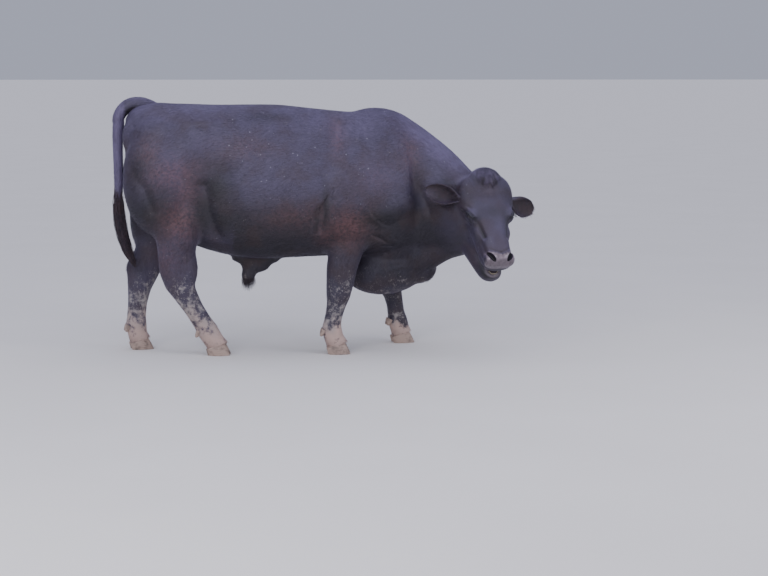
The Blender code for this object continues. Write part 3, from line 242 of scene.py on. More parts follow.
MIDDLE_MASSES = (
    ("crest", (0.520, 0.0, 1.240), (0.250, 0.105, 0.160), (0, 12, 0)),
    ("chest", (0.590, 0.0, 0.730), (0.200, 0.210, 0.175), (0, 0, 0)),
    ("breast", (0.580, 0.0, 0.625), (0.220, 0.150, 0.145), (0, 0, 0)),
    ("brisket", (0.545, 0.0, 0.465), (0.250, 0.120, 0.155), (0, -6, 0)),
    ("brisket tip", (0.735, 0.0, 0.480), (0.115, 0.088, 0.110), (0, 0, 0)),
    ("crotch", (-0.700, 0.0, 0.880), (0.180, 0.120, 0.180), (0, 0, 0)),
    ("navel fold", (-0.215, 0.0, 0.528), (0.150, 0.056, 0.034), (0, 2, 0)),
    ("sheath root", (-0.215, 0.0, 0.494), (0.090, 0.046, 0.046), (0, 2, 0)),
    ("sheath", (-0.256, 0.0, 0.446), (0.046, 0.037, 0.062), (0, 10, 0)),
    ("scrotum neck", (-0.640, 0.0, 0.650), (0.065, 0.050, 0.120), (0, 0, 0)),
)
TESTIS = ((-0.640, 0.034, 0.545), (0.052, 0.042, 0.085))

# Masses of each side of the head: along the face, out of it, aside; radii in that order.
HEAD_SIDE_MASSES = (
    ("cheek", (0.222, -0.180, 0.096), (0.100, 0.080, 0.046)),
    ("orbit", (0.258, -0.052, 0.106), (0.050, 0.040, 0.040)),
    ("temple", (0.140, -0.066, 0.106), (0.080, 0.060, 0.038)),
    ("facial tuber", (0.352, -0.082, 0.084), (0.055, 0.034, 0.030)),
    ("nostril wing", (0.532, -0.050, 0.062), (0.044, 0.042, 0.032)),
    ("lip corner", (0.480, -0.124, 0.066), (0.050, 0.030, 0.024)),
    ("ear root", (0.116, -0.100, 0.120), (0.042, 0.042, 0.036)),
)
HEAD_MIDDLE_MASSES = (
    ("upper lip", (0.545, -0.094, 0.0), (0.036, 0.046, 0.078)),
    ("chin", (0.556, -0.214, 0.0), (0.044, 0.032, 0.052)),
    ("lower lip", (0.580, -0.176, 0.0), (0.018, 0.020, 0.044)),
    ("poll knob", (0.050, -0.022, 0.0), (0.078, 0.046, 0.098)),
    ("poll tuft", (0.016, -0.010, 0.0), (0.030, 0.026, 0.052)),
)
EYE = (0.260, -0.056, 0.119)
LIP_LINE = -0.150          # the mouth, out of the face
EYE_SLANT = 34.0           # degrees from the line of the face to the slit between the lids
SLIT_RISE = 0.009          # how far that slit lies above the eye's middle

# Folds and hollows of each side of the head: half width, height, and places as above.
HEAD_LINES = (
    ("lid fold", 0.01, 0.007, (0.215, -0.06, 0.14), (0.245, -0.032, 0.134), (0.28, -0.022, 0.112)),
    ("brow crease", 0.009, -0.005, (0.2, -0.042, 0.135), (0.238, -0.012, 0.125),
     (0.286, -0.004, 0.098)),
    ("under lid", 0.008, 0.004, (0.24, -0.092, 0.134), (0.272, -0.078, 0.128), (0.302, -0.05, 0.104)),
    ("eye bag", 0.01, -0.004, (0.245, -0.112, 0.134), (0.285, -0.096, 0.124), (0.32, -0.06, 0.098)),
    ("tear groove", 0.014, -0.007, (0.3, -0.034, 0.098), (0.34, -0.034, 0.086), (0.4, -0.03, 0.074)),
    ("cheek hollow", 0.024, -0.012, (0.3, -0.15, 0.104), (0.35, -0.15, 0.1), (0.4, -0.16, 0.09)),
    ("temple hollow", 0.026, -0.006, (0.15, -0.02, 0.11), (0.19, -0.022, 0.112)),
    ("nose ridge", 0.016, 0.003, (0.34, 0.0, 0.04), (0.42, 0.002, 0.036), (0.49, 0.0, 0.04)),
    ("nose side", 0.014, -0.006, (0.42, -0.06, 0.092), (0.46, -0.05, 0.086), (0.49, -0.04, 0.082)),
    ("nostril rim", 0.008, 0.006, (0.496, -0.026, 0.08), (0.516, -0.008, 0.056),
     (0.546, -0.006, 0.034)),
    ("nostril wing rim", 0.008, 0.005, (0.51, -0.05, 0.092), (0.54, -0.052, 0.084),
     (0.562, -0.05, 0.06)),
    ("mouth line", 0.007, -0.01, (0.42, -0.158, 0.1), (0.48, -0.152, 0.086), (0.53, -0.15, 0.08)),
    ("lip fold", 0.008, -0.004, (0.44, -0.12, 0.096), (0.49, -0.1, 0.094), (0.53, -0.088, 0.088)),
)
HEAD_MIDDLE_LINES = (
    ("pad top", 0.007, 0.004, (0.508, -0.004, -0.03), (0.52, -0.006, 0.0), (0.508, -0.004, 0.03)),
    ("philtrum", 0.006, -0.004, (0.54, -0.014, 0.0), (0.575, -0.07, 0.0), (0.57, -0.12, 0.0)),
    ("forehead", 0.05, 0.006, (0.1, 0.01, 0.0), (0.22, 0.004, 0.0)),
    ("nose hollow", 0.04, -0.005, (0.29, -0.004, 0.0), (0.33, -0.006, 0.0)),
)

# The way each ear reaches from the head: aside, out of the face and down it.
EAR_REACH = {RIGHT: (0.948, -0.02, -0.33), LEFT: (0.905, -0.38, 0.20)}
EAR_ROOT = (0.140, -0.094, 0.128)

# Ear from root to tip: share of its length, half width and depth of its cup as shares,
# and how far round each side of it wraps, in degrees.
EAR_PROFILE = (
    (0.00, 0.34, 0.34, 165.0),
    (0.12, 0.40, 0.34, 155.0),
    (0.26, 0.66, 0.36, 128.0),
    (0.42, 0.92, 0.36, 104.0),
    (0.60, 1.00, 0.32, 92.0),
    (0.78, 0.90, 0.25, 86.0),
    (0.92, 0.62, 0.15, 84.0),
    (1.00, 0.30, 0.07, 84.0),
)

# Tail, root to the lowest hair: x, z, radius.
TAIL = (
    (-0.760, 1.386, 0.040),
    (-0.850, 1.420, 0.042),
    (-0.925, 1.413, 0.041),
    (-0.978, 1.360, 0.037),
    (-0.994, 1.270, 0.033),
    (-0.996, 1.150, TAIL_RADIUS),
    (-0.993, 1.000, TAIL_RADIUS - 0.001),
)
SWITCH = (
    (-0.993, 0.990, 0.030),
    (-0.993, 0.900, 0.035),
    (-0.990, 0.800, 0.042),
    (-0.977, 0.700, 0.044),
    (-0.950, 0.600, 0.038),
    (-0.920, 0.530, 0.024),
    (-0.903, SWITCH_TIP, 0.006),
)

# Folds and hollows of each side of the body: half width, height, places.
BODY_LINES = (
    ("behind the shoulder", 0.04, -0.014, (0.255, 0.17, 1.32), (0.215, 0.3, 1.14), (0.165, 0.35, 0.95)),
    ("elbow fold", 0.016, -0.016, (0.185, 0.35, 0.9), (0.14, 0.35, 0.81), (0.13, 0.33, 0.7)),
    ("second elbow fold", 0.013, -0.009, (0.135, 0.35, 0.86), (0.095, 0.35, 0.77), (0.088, 0.33, 0.7)),
    ("between shoulder and neck", 0.05, -0.008, (0.69, 0.1, 1.25), (0.695, 0.22, 1.08),
     (0.7, 0.25, 0.9)),
    ("neck wrinkle", 0.016, 0.006, (0.64, 0.14, 1.23), (0.645, 0.23, 1.1), (0.64, 0.25, 0.98)),
    ("under the shoulder", 0.035, -0.012, (0.43, 0.32, 0.74), (0.53, 0.27, 0.75), (0.62, 0.22, 0.79)),
    ("breast fold", 0.014, -0.007, (0.44, 0.28, 0.665), (0.5, 0.22, 0.665), (0.54, 0.18, 0.67)),
    ("low breast fold", 0.014, -0.006, (0.4, 0.12, 0.545), (0.47, 0.14, 0.55), (0.54, 0.14, 0.56)),
    ("flank hollow", 0.09, -0.018, (-0.47, 0.28, 1.15), (-0.44, 0.32, 1.05)),
    ("thigh front", 0.04, -0.02, (-0.52, 0.3, 0.96), (-0.5, 0.29, 0.82), (-0.455, 0.26, 0.68)),
    ("rib end", 0.05, 0.006, (-0.3, 0.34, 1.15), (-0.33, 0.34, 1.0), (-0.3, 0.34, 0.85)),
    ("hook to pin", 0.045, -0.008, (-0.56, 0.24, 1.27), (-0.72, 0.24, 1.2), (-0.86, 0.17, 1.18)),
    ("thigh groove", 0.028, -0.01, (-0.915, 0.22, 1.08), (-0.85, 0.28, 0.96), (-0.8, 0.28, 0.83)),
    ("beside the backbone", 0.04, -0.005, (0.15, 0.1, 1.39), (-0.2, 0.1, 1.415), (-0.55, 0.1, 1.42)),
)


def add_object(name, data):
    obj = bpy.data.objects.new(name, data)
    bpy.context.scene.collection.objects.link(obj)
    return obj


def from_bmesh(name, bm, smooth=False):
    """A new object holding bm, its faces pointing out."""
    bmesh.ops.recalc_face_normals(bm, faces=bm.faces)
    mesh = bpy.data.meshes.new(name)
    bm.to_mesh(mesh)
    bm.free()
    if smooth:
        mesh.shade_smooth()
    return add_object(name, mesh)


def apply_modifiers(obj):
    graph = bpy.context.evaluated_depsgraph_get()
    mesh = bpy.data.meshes.new_from_object(obj.evaluated_get(graph))
    obj.modifiers.clear()
    obj.data = mesh


def signed_power(value, power):
    return math.copysign(abs(value) ** power, value)


def add_ring(bm, centre, across, up, square=2.0, pinch=0.0, sides=SIDES):
    """A closed superellipse, with half axes across and up. Returns its edges in order."""
    made = bmesh.ops.create_circle(bm, segments=sides, radius=1.0)
    for vert in made["verts"]:
        side = signed_power(vert.co.x, 2.0 / square)
        rise = signed_power(vert.co.y, 2.0 / square)
        vert.co = centre + across * (side * (1.0 + pinch * rise)) + up * rise
    return list(dict.fromkeys(edge for vert in made["verts"] for edge in vert.link_edges))


def loft(bm, rings):
    """Joins rings of edges into one closed tube."""
    for ring, following in zip(rings, rings[1:]):
        bmesh.ops.bridge_loops(bm, edges=ring + following)
    for end in (rings[0], rings[-1]):
        bmesh.ops.edgeloop_fill(bm, edges=end)


def add_mass(bm, centre, radii, turn=(0.0, 0.0, 0.0), side=1):
    """An ellipsoid, mirrored to the right of the body by side -1."""
    centre = Vector((centre[0], centre[1] * side, centre[2]))
    turn = Euler([math.radians(angle) for angle in (turn[0] * side, turn[1], turn[2] * side)])
    matrix = Matrix.LocRotScale(centre, turn, Vector(radii))
    bmesh.ops.create_icosphere(bm, subdivisions=3, radius=1.0, matrix=matrix)


def smooth_value(values, place):
    """The value at place, 0 at the first and 1 more at each next, on a smooth curve."""
    index = max(0, min(int(place), len(values) - 2))
    share = place - index
    before, start, end, after = (
        values[max(0, min(len(values) - 1, index + step))] for step in (-1, 0, 1, 2)
    )
    return 0.5 * (
        2.0 * start
        + (end - before) * share
        + (2.0 * before - 5.0 * start + 4.0 * end - after) * share**2
        + (3.0 * start - before - 3.0 * end + after) * share**3
    )


def smooth_rows(table, steps=3):
    """The rows of a table with smooth ones between them."""
    columns = list(zip(*table))
    count = (len(table) - 1) * steps
    return [[smooth_value(column, row / steps) for column in columns] for row in range(count + 1)]


def level_way(turn):
    """The level unit vector that points turn radians from +X."""
    return Vector((math.cos(turn), math.sin(turn), 0.0))


def neck_place(share):
    """Where the neck's middle line is in plan, and its heading in radians, at a share of it."""
    start, end = (math.radians(angle) for angle in NECK_HEADINGS)
    steps = 40
    spot = NECK_ROOT.copy()
    for step in range(steps):
        heading = start + (end - start) * share * (step + 0.5) / steps
        spot += level_way(heading) * (NECK_REACH * share / steps)
    return spot, start + (end - start) * share


def head_axes():
    """Unit vectors down the face to the muzzle, square out of the face, and to its left."""
    level = level_way(math.radians(HEAD_TURN))
    drop = math.radians(HEAD_DROP)
    return (
        level * math.cos(drop) - UP * math.sin(drop),
        level * math.sin(drop) + UP * math.cos(drop),
        UP.cross(level),
    )


def on_head(along, out, aside, side=LEFT):
    """A place of the head in the body's frame: along the face, out of it, and to that side of it."""
    down_axis, out_axis, left_axis = head_axes()
    return POLL + down_axis * along + out_axis * out + left_axis * (aside * side)


def head_matrix(spot, radii, tilt=(0.0, 0.0, 0.0)):
    """Places a unit shape at spot of the head, sized along, out and left of it."""
    axes = Matrix([axis.to_tuple() for axis in head_axes()]).transposed()
    turned = (axes @ Euler([math.radians(angle) for angle in tilt]).to_matrix()).to_4x4()
    return Matrix.Translation(on_head(*spot)) @ turned @ Matrix.Diagonal((*radii, 1.0))


def add_trunk(bm):
    rings = []
    for x, top, bottom, half, square, pinch in smooth_rows(TRUNK):
        centre = Vector((x, 0.0, (top + bottom) / 2))
        rings.append(add_ring(bm, centre, ASIDE * half, UP * (top - bottom) / 2, square, pinch))
    loft(bm, rings)
    for side in (RIGHT, LEFT):
        for _, centre, radii, turn in SIDE_MASSES + THIGH_MASSES[side]:
            add_mass(bm, centre, radii, turn, side)
        add_mass(bm, *TESTIS, side=side)
    for _, centre, radii, turn in MIDDLE_MASSES:
        add_mass(bm, centre, radii, turn)


def add_neck(bm):
    """The neck, and under it the dewlap, whose rings have no pinch."""
    for table in (NECK, DEWLAP):
        rings = []
        for share, top, bottom, half, *pinch in smooth_rows(table):
            spot, heading = neck_place(share)
            across = UP.cross(level_way(heading)) * half
            centre = Vector((spot.x, spot.y, (top + bottom) / 2))
            rings.append(add_ring(bm, centre, across, UP * (top - bottom) / 2, 2.0, *pinch))
        loft(bm, rings)


def add_head(bm):
    """The skull with the upper jaw, the lower jaw, whose rings are all alike, and their masses."""
    _, out_axis, left_axis = head_axes()
    for table in (SKULL, JAW):
        rings = []
        for along, face, under, half, *form in smooth_rows(table):
            centre = on_head(along, (face + under) / 2, 0.0)
            up = out_axis * (face - under) / 2
            rings.append(add_ring(bm, centre, left_axis * half, up, *(form or [JAW_SQUARENESS])))
        loft(bm, rings)
    masses = [(spot, radii) for _, spot, radii in HEAD_MIDDLE_MASSES]
    for side in (RIGHT, LEFT):
        for _, (along, out, aside), radii in HEAD_SIDE_MASSES:
            masses.append(((along, out, aside * side), radii))
    for spot, radii in masses:
        bmesh.ops.create_icosphere(bm, subdivisions=3, radius=1.0, matrix=head_matrix(spot, radii))


def add_leg(bm, joints, across, girths, side):
    """One leg, along its joints and on past the last of them."""
    points = [Vector((x, y * side, z)) for (x, z), y in zip(joints, across)]
    points.append(points[-1] + (points[-1] - points[-2]) * 0.5)
    rings = []
    for place, deep, wide in girths:
        ahead = smooth_value(points, place + 0.05) - smooth_value(points, max(0.0, place - 0.05))
        fore = ahead.cross(ASIDE).normalized()
        rings.append(add_ring(bm, smooth_value(points, place), ASIDE * wide, fore * deep, 2.2))
    loft(bm, rings)


def add_legs(bm):
    for side in (RIGHT, LEFT):
        add_leg(bm, FORE_JOINTS[side], FORE_ACROSS, FORE_GIRTHS, side)
        add_leg(bm, HIND_JOINTS[side], HIND_ACROSS, HIND_GIRTHS, side)
        knee_x, knee_z = FORE_JOINTS[side][2]
        knee = (knee_x + 0.022, FORE_ACROSS[2], knee_z + 0.010)
        add_mass(bm, knee, (0.050, 0.056, 0.060), side=side)
        hock_x, hock_z = HIND_JOINTS[side][2]
        point_of_hock = (hock_x - 0.062, HIND_ACROSS[2], hock_z + 0.045)
        add_mass(bm, point_of_hock, (0.034, 0.030, 0.062), (0, 18, 0), side)


def remesh(obj, voxel):
    """Melts overlapping forms into one clay of that grain."""
    modifier = obj.modifiers.new("clay", "REMESH")
    modifier.mode = "VOXEL"
    modifier.voxel_size = voxel
    apply_modifiers(obj)


def mesh_rows(items, field, width=3, kind=np.float32):
    """One field of all vertices, edges, normals or triangles, a row for each."""
    values = np.empty(len(items) * width, kind)
    items.foreach_get(field, values)
    return values.reshape(-1, width)


def mesh_points(mesh):
    return mesh_rows(mesh.vertices, "co").astype(np.float64)


def vertex_ways(mesh):
    """The unit way out of the mesh at each vertex."""
    return mesh_rows(mesh.vertex_normals, "vector").astype(np.float64)


def triangle_corners(mesh):
    mesh.calc_loop_triangles()
    return mesh_rows(mesh.loop_triangles, "vertices", kind=np.int32)


def set_points(mesh, points):
    mesh.vertices.foreach_set("co", points.astype(np.float32).ravel())
    mesh.update()


def relax(mesh, rounds, share):
    """Moves each vertex half way to its neighbours' mean, or its share of that."""
    points = mesh_points(mesh)
    edges = mesh_rows(mesh.edges, "vertices", 2, np.int32)
    count = len(points)
    ends = np.concatenate([edges[:, 0], edges[:, 1]])
    others = np.concatenate([edges[:, 1], edges[:, 0]])
    degree = np.maximum(np.bincount(ends, minlength=count), 1)[:, None]
    for _ in range(rounds):
        total = np.stack([np.bincount(ends, points[others, k], count) for k in range(3)], axis=1)
        points += 0.5 * share[:, None] * (total / degree - points)
    set_points(mesh, points)


def line_weights(points, line, width):
    """How near each point is to a bent line: 1 on it, and falling smoothly over its width."""
    line = np.array(line)
    weights = np.zeros(len(points))
    low, high = line.min(axis=0) - 3.0 * width, line.max(axis=0) + 3.0 * width
    near = np.flatnonzero(((points > low) & (points < high)).all(axis=1))
    for start, end in zip(line, line[1:]):
        run = end - start
        share = np.clip((points[near] - start) @ run / (run @ run), 0.0, 1.0)
        distance = np.linalg.norm(points[near] - start - share[:, None] * run, axis=1)
        weights[near] = np.maximum(weights[near], np.exp(-((distance / width) ** 2)))
    return weights


def sculpt(mesh, lines):
    """Raises or sinks the skin along lines, each with its half width, height and points."""
    points = mesh_points(mesh)
    height = np.zeros(len(points))
    for width, rise, line in lines:
        height += rise * line_weights(points, line, width)
    set_points(mesh, points + vertex_ways(mesh) * height[:, None])


def both_sides(body_lines, head_lines):
    """The lines of each side of body and head, in the body's own frame."""
    lines = []
    for side in (RIGHT, LEFT):
        for _, width, rise, *line in body_lines:
            lines.append((width, rise, [(x, y * side, z) for x, y, z in line]))
        for _, width, rise, *line in head_lines:
            lines.append((width, rise, [on_head(*spot, side) for spot in line]))
    return lines


def near_head(points, reach):
    """1 within reach of the face's middle, falling to 0 over a hand's breadth beyond."""
    distance = np.linalg.norm(points - np.array(on_head(0.27, -0.10, 0.0)), axis=1)
    return np.clip(1.0 - (distance - reach) / 0.10, 0.0, 1.0)


def thin_out(obj, triangles, chosen):
    """Collapses the part of the mesh where chosen is true to about that many triangles."""
    corners = triangle_corners(obj.data)
    within = int(chosen[corners].all(axis=1).sum())
    group = obj.vertex_groups.new(name="thinned")
    group.add(np.flatnonzero(chosen).tolist(), 1.0, "REPLACE")
    modifier = obj.modifiers.new("thin out", "DECIMATE")
    modifier.ratio = 1.0 - (within - triangles) / len(corners)
    modifier.vertex_group = group.name
    modifier.vertex_group_factor = 1000.0  # holds everything outside the group
    modifier.use_collapse_triangulate = True
    apply_modifiers(obj)
    obj.vertex_groups.clear()


def boolean(obj, others, operation):
    """Applies one Boolean with all the others to obj, and removes them."""
    group = bpy.data.collections.new("others")
    bpy.context.scene.collection.children.link(group)
    for other in others:
        group.objects.link(other)
    modifier = obj.modifiers.new("boolean", "BOOLEAN")
    modifier.operation = operation
    modifier.solver = "MANIFOLD"
    modifier.operand_type = "COLLECTION"
    modifier.collection = group
    apply_modifiers(obj)
    for other in others:
        bpy.data.objects.remove(other, do_unlink=True)
    bpy.data.collections.remove(group)


def tube(name, table, sides):
    """A closed tube in the body's middle plane, through rows of x, z and radius."""
    points = [Vector((x, 0.0, z)) for x, z, _ in table]
    bm = bmesh.new()
    rings = []
    for index, (_, _, radius) in enumerate(table):
        ahead = points[min(index + 1, len(points) - 1)] - points[max(index - 1, 0)]
        fore = ahead.cross(ASIDE).normalized()
        rings.append(add_ring(bm, points[index], ASIDE * radius, fore * radius, sides=sides))
    loft(bm, rings)
    return from_bmesh(name, bm)


# Finer folds of the skin over the head.
FINE_HEAD_LINES = (
    ("upper lid edge", 0.005, 0.003, (0.232, -0.046, 0.142), (0.258, -0.03, 0.136),
     (0.284, -0.02, 0.116)),
    ("brow cleft", 0.0075, -0.0075, (0.205, -0.078, 0.153), (0.23, -0.042, 0.144), (0.262, -0.018, 0.128),
     (0.296, -0.024, 0.104)),
    ("tear cleft", 0.012, -0.003, (0.29, -0.028, 0.108), (0.33, -0.04, 0.086), (0.4, -0.036, 0.07)),
    ("lid wrinkle", 0.0045, -0.0022, (0.222, -0.034, 0.139), (0.252, -0.018, 0.13),
     (0.284, -0.012, 0.108)),
    ("second lid wrinkle", 0.0045, -0.0018, (0.206, -0.07, 0.142), (0.212, -0.05, 0.142),
     (0.232, -0.024, 0.134)),
    ("lower lid edge", 0.006, 0.004, (0.232, -0.082, 0.142), (0.262, -0.068, 0.137),
     (0.29, -0.048, 0.116)),
    ("lower lid wrinkle", 0.005, -0.0024, (0.24, -0.104, 0.136), (0.27, -0.094, 0.132),
     (0.306, -0.064, 0.108)),
    ("outer corner wrinkle", 0.0045, -0.002, (0.196, -0.084, 0.142), (0.216, -0.076, 0.143),
     (0.232, -0.07, 0.142)),
    ("tear corner", 0.006, -0.004, (0.292, -0.038, 0.112), (0.308, -0.036, 0.104)),
    ("cheek crease", 0.008, -0.003, (0.29, -0.12, 0.112), (0.32, -0.14, 0.106), (0.34, -0.175, 0.1)),
    ("nostril wrinkle", 0.0045, -0.0022, (0.47, -0.044, 0.088), (0.486, -0.03, 0.08),
     (0.492, -0.012, 0.066)),
    ("second nostril wrinkle", 0.0045, -0.0016, (0.452, -0.04, 0.088), (0.468, -0.022, 0.078)),
    ("upper lip crease", 0.005, -0.0022, (0.5, -0.088, 0.096), (0.532, -0.082, 0.088),
     (0.56, -0.08, 0.066)),
    ("lip corner wrinkle", 0.006, -0.0028, (0.404, -0.146, 0.104), (0.42, -0.16, 0.1),
     (0.424, -0.182, 0.094)),
    ("second corner wrinkle", 0.006, -0.002, (0.388, -0.15, 0.106), (0.4, -0.17, 0.102),
     (0.4, -0.196, 0.096)),
    ("lower lip edge", 0.006, 0.0026, (0.47, -0.166, 0.08), (0.53, -0.166, 0.07),
     (0.572, -0.17, 0.044)),
    ("pad edge", 0.0065, 0.0032, (0.494, -0.018, 0.064), (0.51, -0.008, 0.034), (0.522, -0.004, 0.002)),
    ("over the pad", 0.007, -0.0022, (0.482, -0.012, 0.06), (0.497, -0.004, 0.032),
     (0.508, -0.002, 0.0)),
    ("chin crease", 0.006, -0.0028, (0.52, -0.206, 0.066), (0.56, -0.202, 0.048),
     (0.586, -0.198, 0.02)),
)

# Loose folds of the throat on the right, at the bend of the neck, and their faint twins on the left.
THROAT_LINES = (
    ("throat crease", 0.014, -0.007, (0.8, -0.335, 0.8), (0.83, -0.35, 0.77), (0.96, -0.4, 0.76)),
    ("throat fold", 0.012, 0.006, (0.79, -0.33, 0.76), (0.84, -0.36, 0.725), (0.94, -0.4, 0.715)),
    ("jowl crease", 0.01, -0.005, (0.9, -0.42, 0.93), (0.915, -0.44, 0.86), (0.94, -0.46, 0.8)),
    ("nape wrinkle", 0.01, -0.004, (0.905, -0.235, 1.11), (0.88, -0.3, 1.04), (0.875, -0.345, 0.96)),
    ("second nape wrinkle", 0.012, -0.004, (0.85, -0.2, 1.14), (0.82, -0.275, 1.06),
     (0.815, -0.32, 0.97)),
)

# Shallow wrinkles of each side of the body.
FINE_BODY_LINES = (
    ("elbow crease", 0.007, -0.008, (0.198, 0.345, 0.952), (0.154, 0.352, 0.871),
     (0.144, 0.345, 0.784)),
    ("second elbow crease", 0.006, -0.006, (0.123, 0.352, 0.842), (0.102, 0.35, 0.747)),
    ("arm crease", 0.01, -0.005, (0.4, 0.32, 0.835), (0.44, 0.31, 0.79), (0.5, 0.285, 0.76)),
    ("second arm crease", 0.009, -0.004, (0.43, 0.32, 0.8), (0.49, 0.29, 0.745), (0.56, 0.24, 0.735)),
    ("breast wrinkle", 0.008, -0.007, (0.433, 0.27, 0.679), (0.48, 0.24, 0.655), (0.524, 0.205, 0.638)),
    ("low wrinkle", 0.009, -0.005, (0.43, 0.24, 0.62), (0.49, 0.2, 0.606), (0.56, 0.17, 0.61)),
    ("arm pit wrinkle", 0.009, -0.005, (0.36, 0.2, 0.52), (0.433, 0.16, 0.486)),
    ("brisket wrinkle", 0.012, -0.004, (0.44, 0.12, 0.48), (0.52, 0.128, 0.49), (0.62, 0.12, 0.5)),
    ("neck valley", 0.03, -0.01, (0.64, 0.2, 1.07), (0.69, 0.235, 0.95), (0.755, 0.235, 0.82)),
    ("neck crease", 0.01, -0.004, (0.74, 0.17, 1.14), (0.745, 0.215, 1.03), (0.735, 0.23, 0.93)),
    ("flank crease", 0.01, -0.004, (-0.505, 0.3, 0.94), (-0.485, 0.29, 0.82), (-0.45, 0.27, 0.7)),
    ("stifle crease", 0.009, -0.003, (-0.56, 0.29, 0.8), (-0.545, 0.285, 0.72), (-0.52, 0.26, 0.65)),
    ("rib one", 0.016, 0.0016, (0.06, 0.25, 1.26), (0.03, 0.34, 1.08), (0.01, 0.355, 0.9)),
    ("rib two", 0.016, 0.0016, (-0.02, 0.25, 1.26), (-0.05, 0.34, 1.08), (-0.07, 0.355, 0.9)),
    ("rib three", 0.016, 0.0014, (-0.1, 0.25, 1.26), (-0.13, 0.34, 1.08), (-0.15, 0.35, 0.9)),
    ("rump line", 0.03, 0.003, (-0.64, 0.26, 1.14), (-0.68, 0.29, 1.0), (-0.7, 0.29, 0.86)),
    ("hock tendon", 0.014, -0.005, (-0.8, 0.21, 0.7), (-0.79, 0.19, 0.6)),
)


def skin_depth(points):
    """How far the skin lies inside the solids, which reach to the tips of the short coat."""
    legs = np.clip((0.62 - points[:, 2]) / 0.12, 0.0, 1.0)
    depth = 0.0032 - 0.0012 * legs
    depth *= 1.0 - ((points[:, 0] < -0.84) & (np.abs(points[:, 1]) < 0.14) & (points[:, 2] < 1.30))
    return depth * (1.0 - near_head(points, 0.27)) + 0.0016 * near_head(points, 0.27)


def split_head_faces(obj):
    """Divides each face of the head once, for the finer folds of the face."""
    chosen = near_head(mesh_points(obj.data), HEAD_REACH) > 0.5
    bm = bmesh.new()
    bm.from_mesh(obj.data)
    edges = [edge for edge in bm.edges if chosen[edge.verts[0].index] and chosen[edge.verts[1].index]]
    bmesh.ops.subdivide_edges(bm, edges=edges, cuts=1, use_grid_fill=True)
    bm.to_mesh(obj.data)
    bm.free()


def ear_frame(side):
    """Root of an ear, the way it reaches, its convex back and its breadth."""
    root = on_head(*EAR_ROOT, side)
    down_axis, out_axis, left_axis = head_axes()
    aside, out, down = EAR_REACH[side]
    reach = (left_axis * (aside * side) + out_axis * out + down_axis * down).normalized()
    back = (-out_axis * 0.80 - down_axis * 0.55).normalized()
    back = (back - reach * back.dot(reach)).normalized()
    return root, reach, back, reach.cross(back)


def ear(side):
    """A cupped leaf of skin, its hollow to the front, its root sunk in the head."""
    root, reach, back, broad = ear_frame(side)
    steps = 15
    bm = bmesh.new()
    rings = []
    for place, width, hollow, wrap in smooth_rows(EAR_PROFILE, 4):
        skin = EAR_SKIN * (1.0 - 0.45 * place)
        half = max((EAR_WIDTH / 2 - 0.002) * width, skin * 0.8)
        deep = max((EAR_WIDTH - 0.004) * hollow, skin * 1.2)
        centre = root + reach * (EAR_LENGTH * 0.985 * place) - back * (0.018 * math.sin(math.pi * place))
        half_wrap = math.radians(wrap)
        angles = [half_wrap * (2.0 * step / (steps - 1) - 1.0) for step in range(steps)]
        outer = [broad * (half * math.sin(a)) + back * (deep * math.cos(a)) for a in angles]
        inner_half = max(half - skin, half * 0.35)
        inner_deep = max(deep - skin, deep * 0.20)
        inner = [broad * (inner_half * math.sin(a)) + back * (inner_deep * math.cos(a)) for a in angles]
        ring = [bm.verts.new(centre + spot) for spot in outer + inner[::-1]]
        rings.append([bm.edges.new((a, b)) for a, b in zip(ring, ring[1:] + ring[:1])])
    loft(bm, rings)
    bmesh.ops.triangulate(bm, faces=bm.faces)
    return from_bmesh("ear", bm)


def head_ball(spot, radii, tilt=(0.0, 0.0, 0.0)):
    """An ellipsoid of its own at a place of the head."""
    bm = bmesh.new()
    bmesh.ops.create_icosphere(bm, subdivisions=4, radius=1.0, matrix=head_matrix(spot, radii, tilt))
    return from_bmesh("ball", bm)


# Each nostril, a comma, inner end last: along the face, out of it, aside, and half its breadth.
NOSTRIL_ROWS = (
    (0.488, -0.036, 0.077, 0.0022),
    (0.494, -0.032, 0.075, 0.0062),
    (0.502, -0.027, 0.071, 0.0098),
    (0.513, -0.020, 0.064, 0.0135),
    (0.527, -0.016, 0.055, 0.0155),
    (0.540, -0.019, 0.046, 0.0135),
    (0.549, -0.026, 0.039, 0.0088),
    (0.554, -0.031, 0.035, 0.0030),
)
NOSTRIL_TILT = 24.0        # degrees that its depth leans in towards the middle of the face


def nostril(side):
    """The hollow of a nostril, one closed form along its comma."""
    rows = smooth_rows(NOSTRIL_ROWS, 4)
    _, out_axis, left_axis = head_axes()
    tilt = math.radians(NOSTRIL_TILT)
    deep = out_axis * math.cos(tilt) + left_axis * side * math.sin(tilt)
    centres = [on_head(*row[:3], side) for row in rows]
    bm = bmesh.new()
    rings = []
    for number, row in enumerate(rows):
        ahead = centres[min(number + 1, len(rows) - 1)] - centres[max(number - 1, 0)]
        across = deep.cross(ahead).normalized()
        rings.append(add_ring(bm, centres[number], across * row[3], deep * row[3] * 1.9, sides=24))
    loft(bm, rings)
    return from_bmesh("nostril", bm)


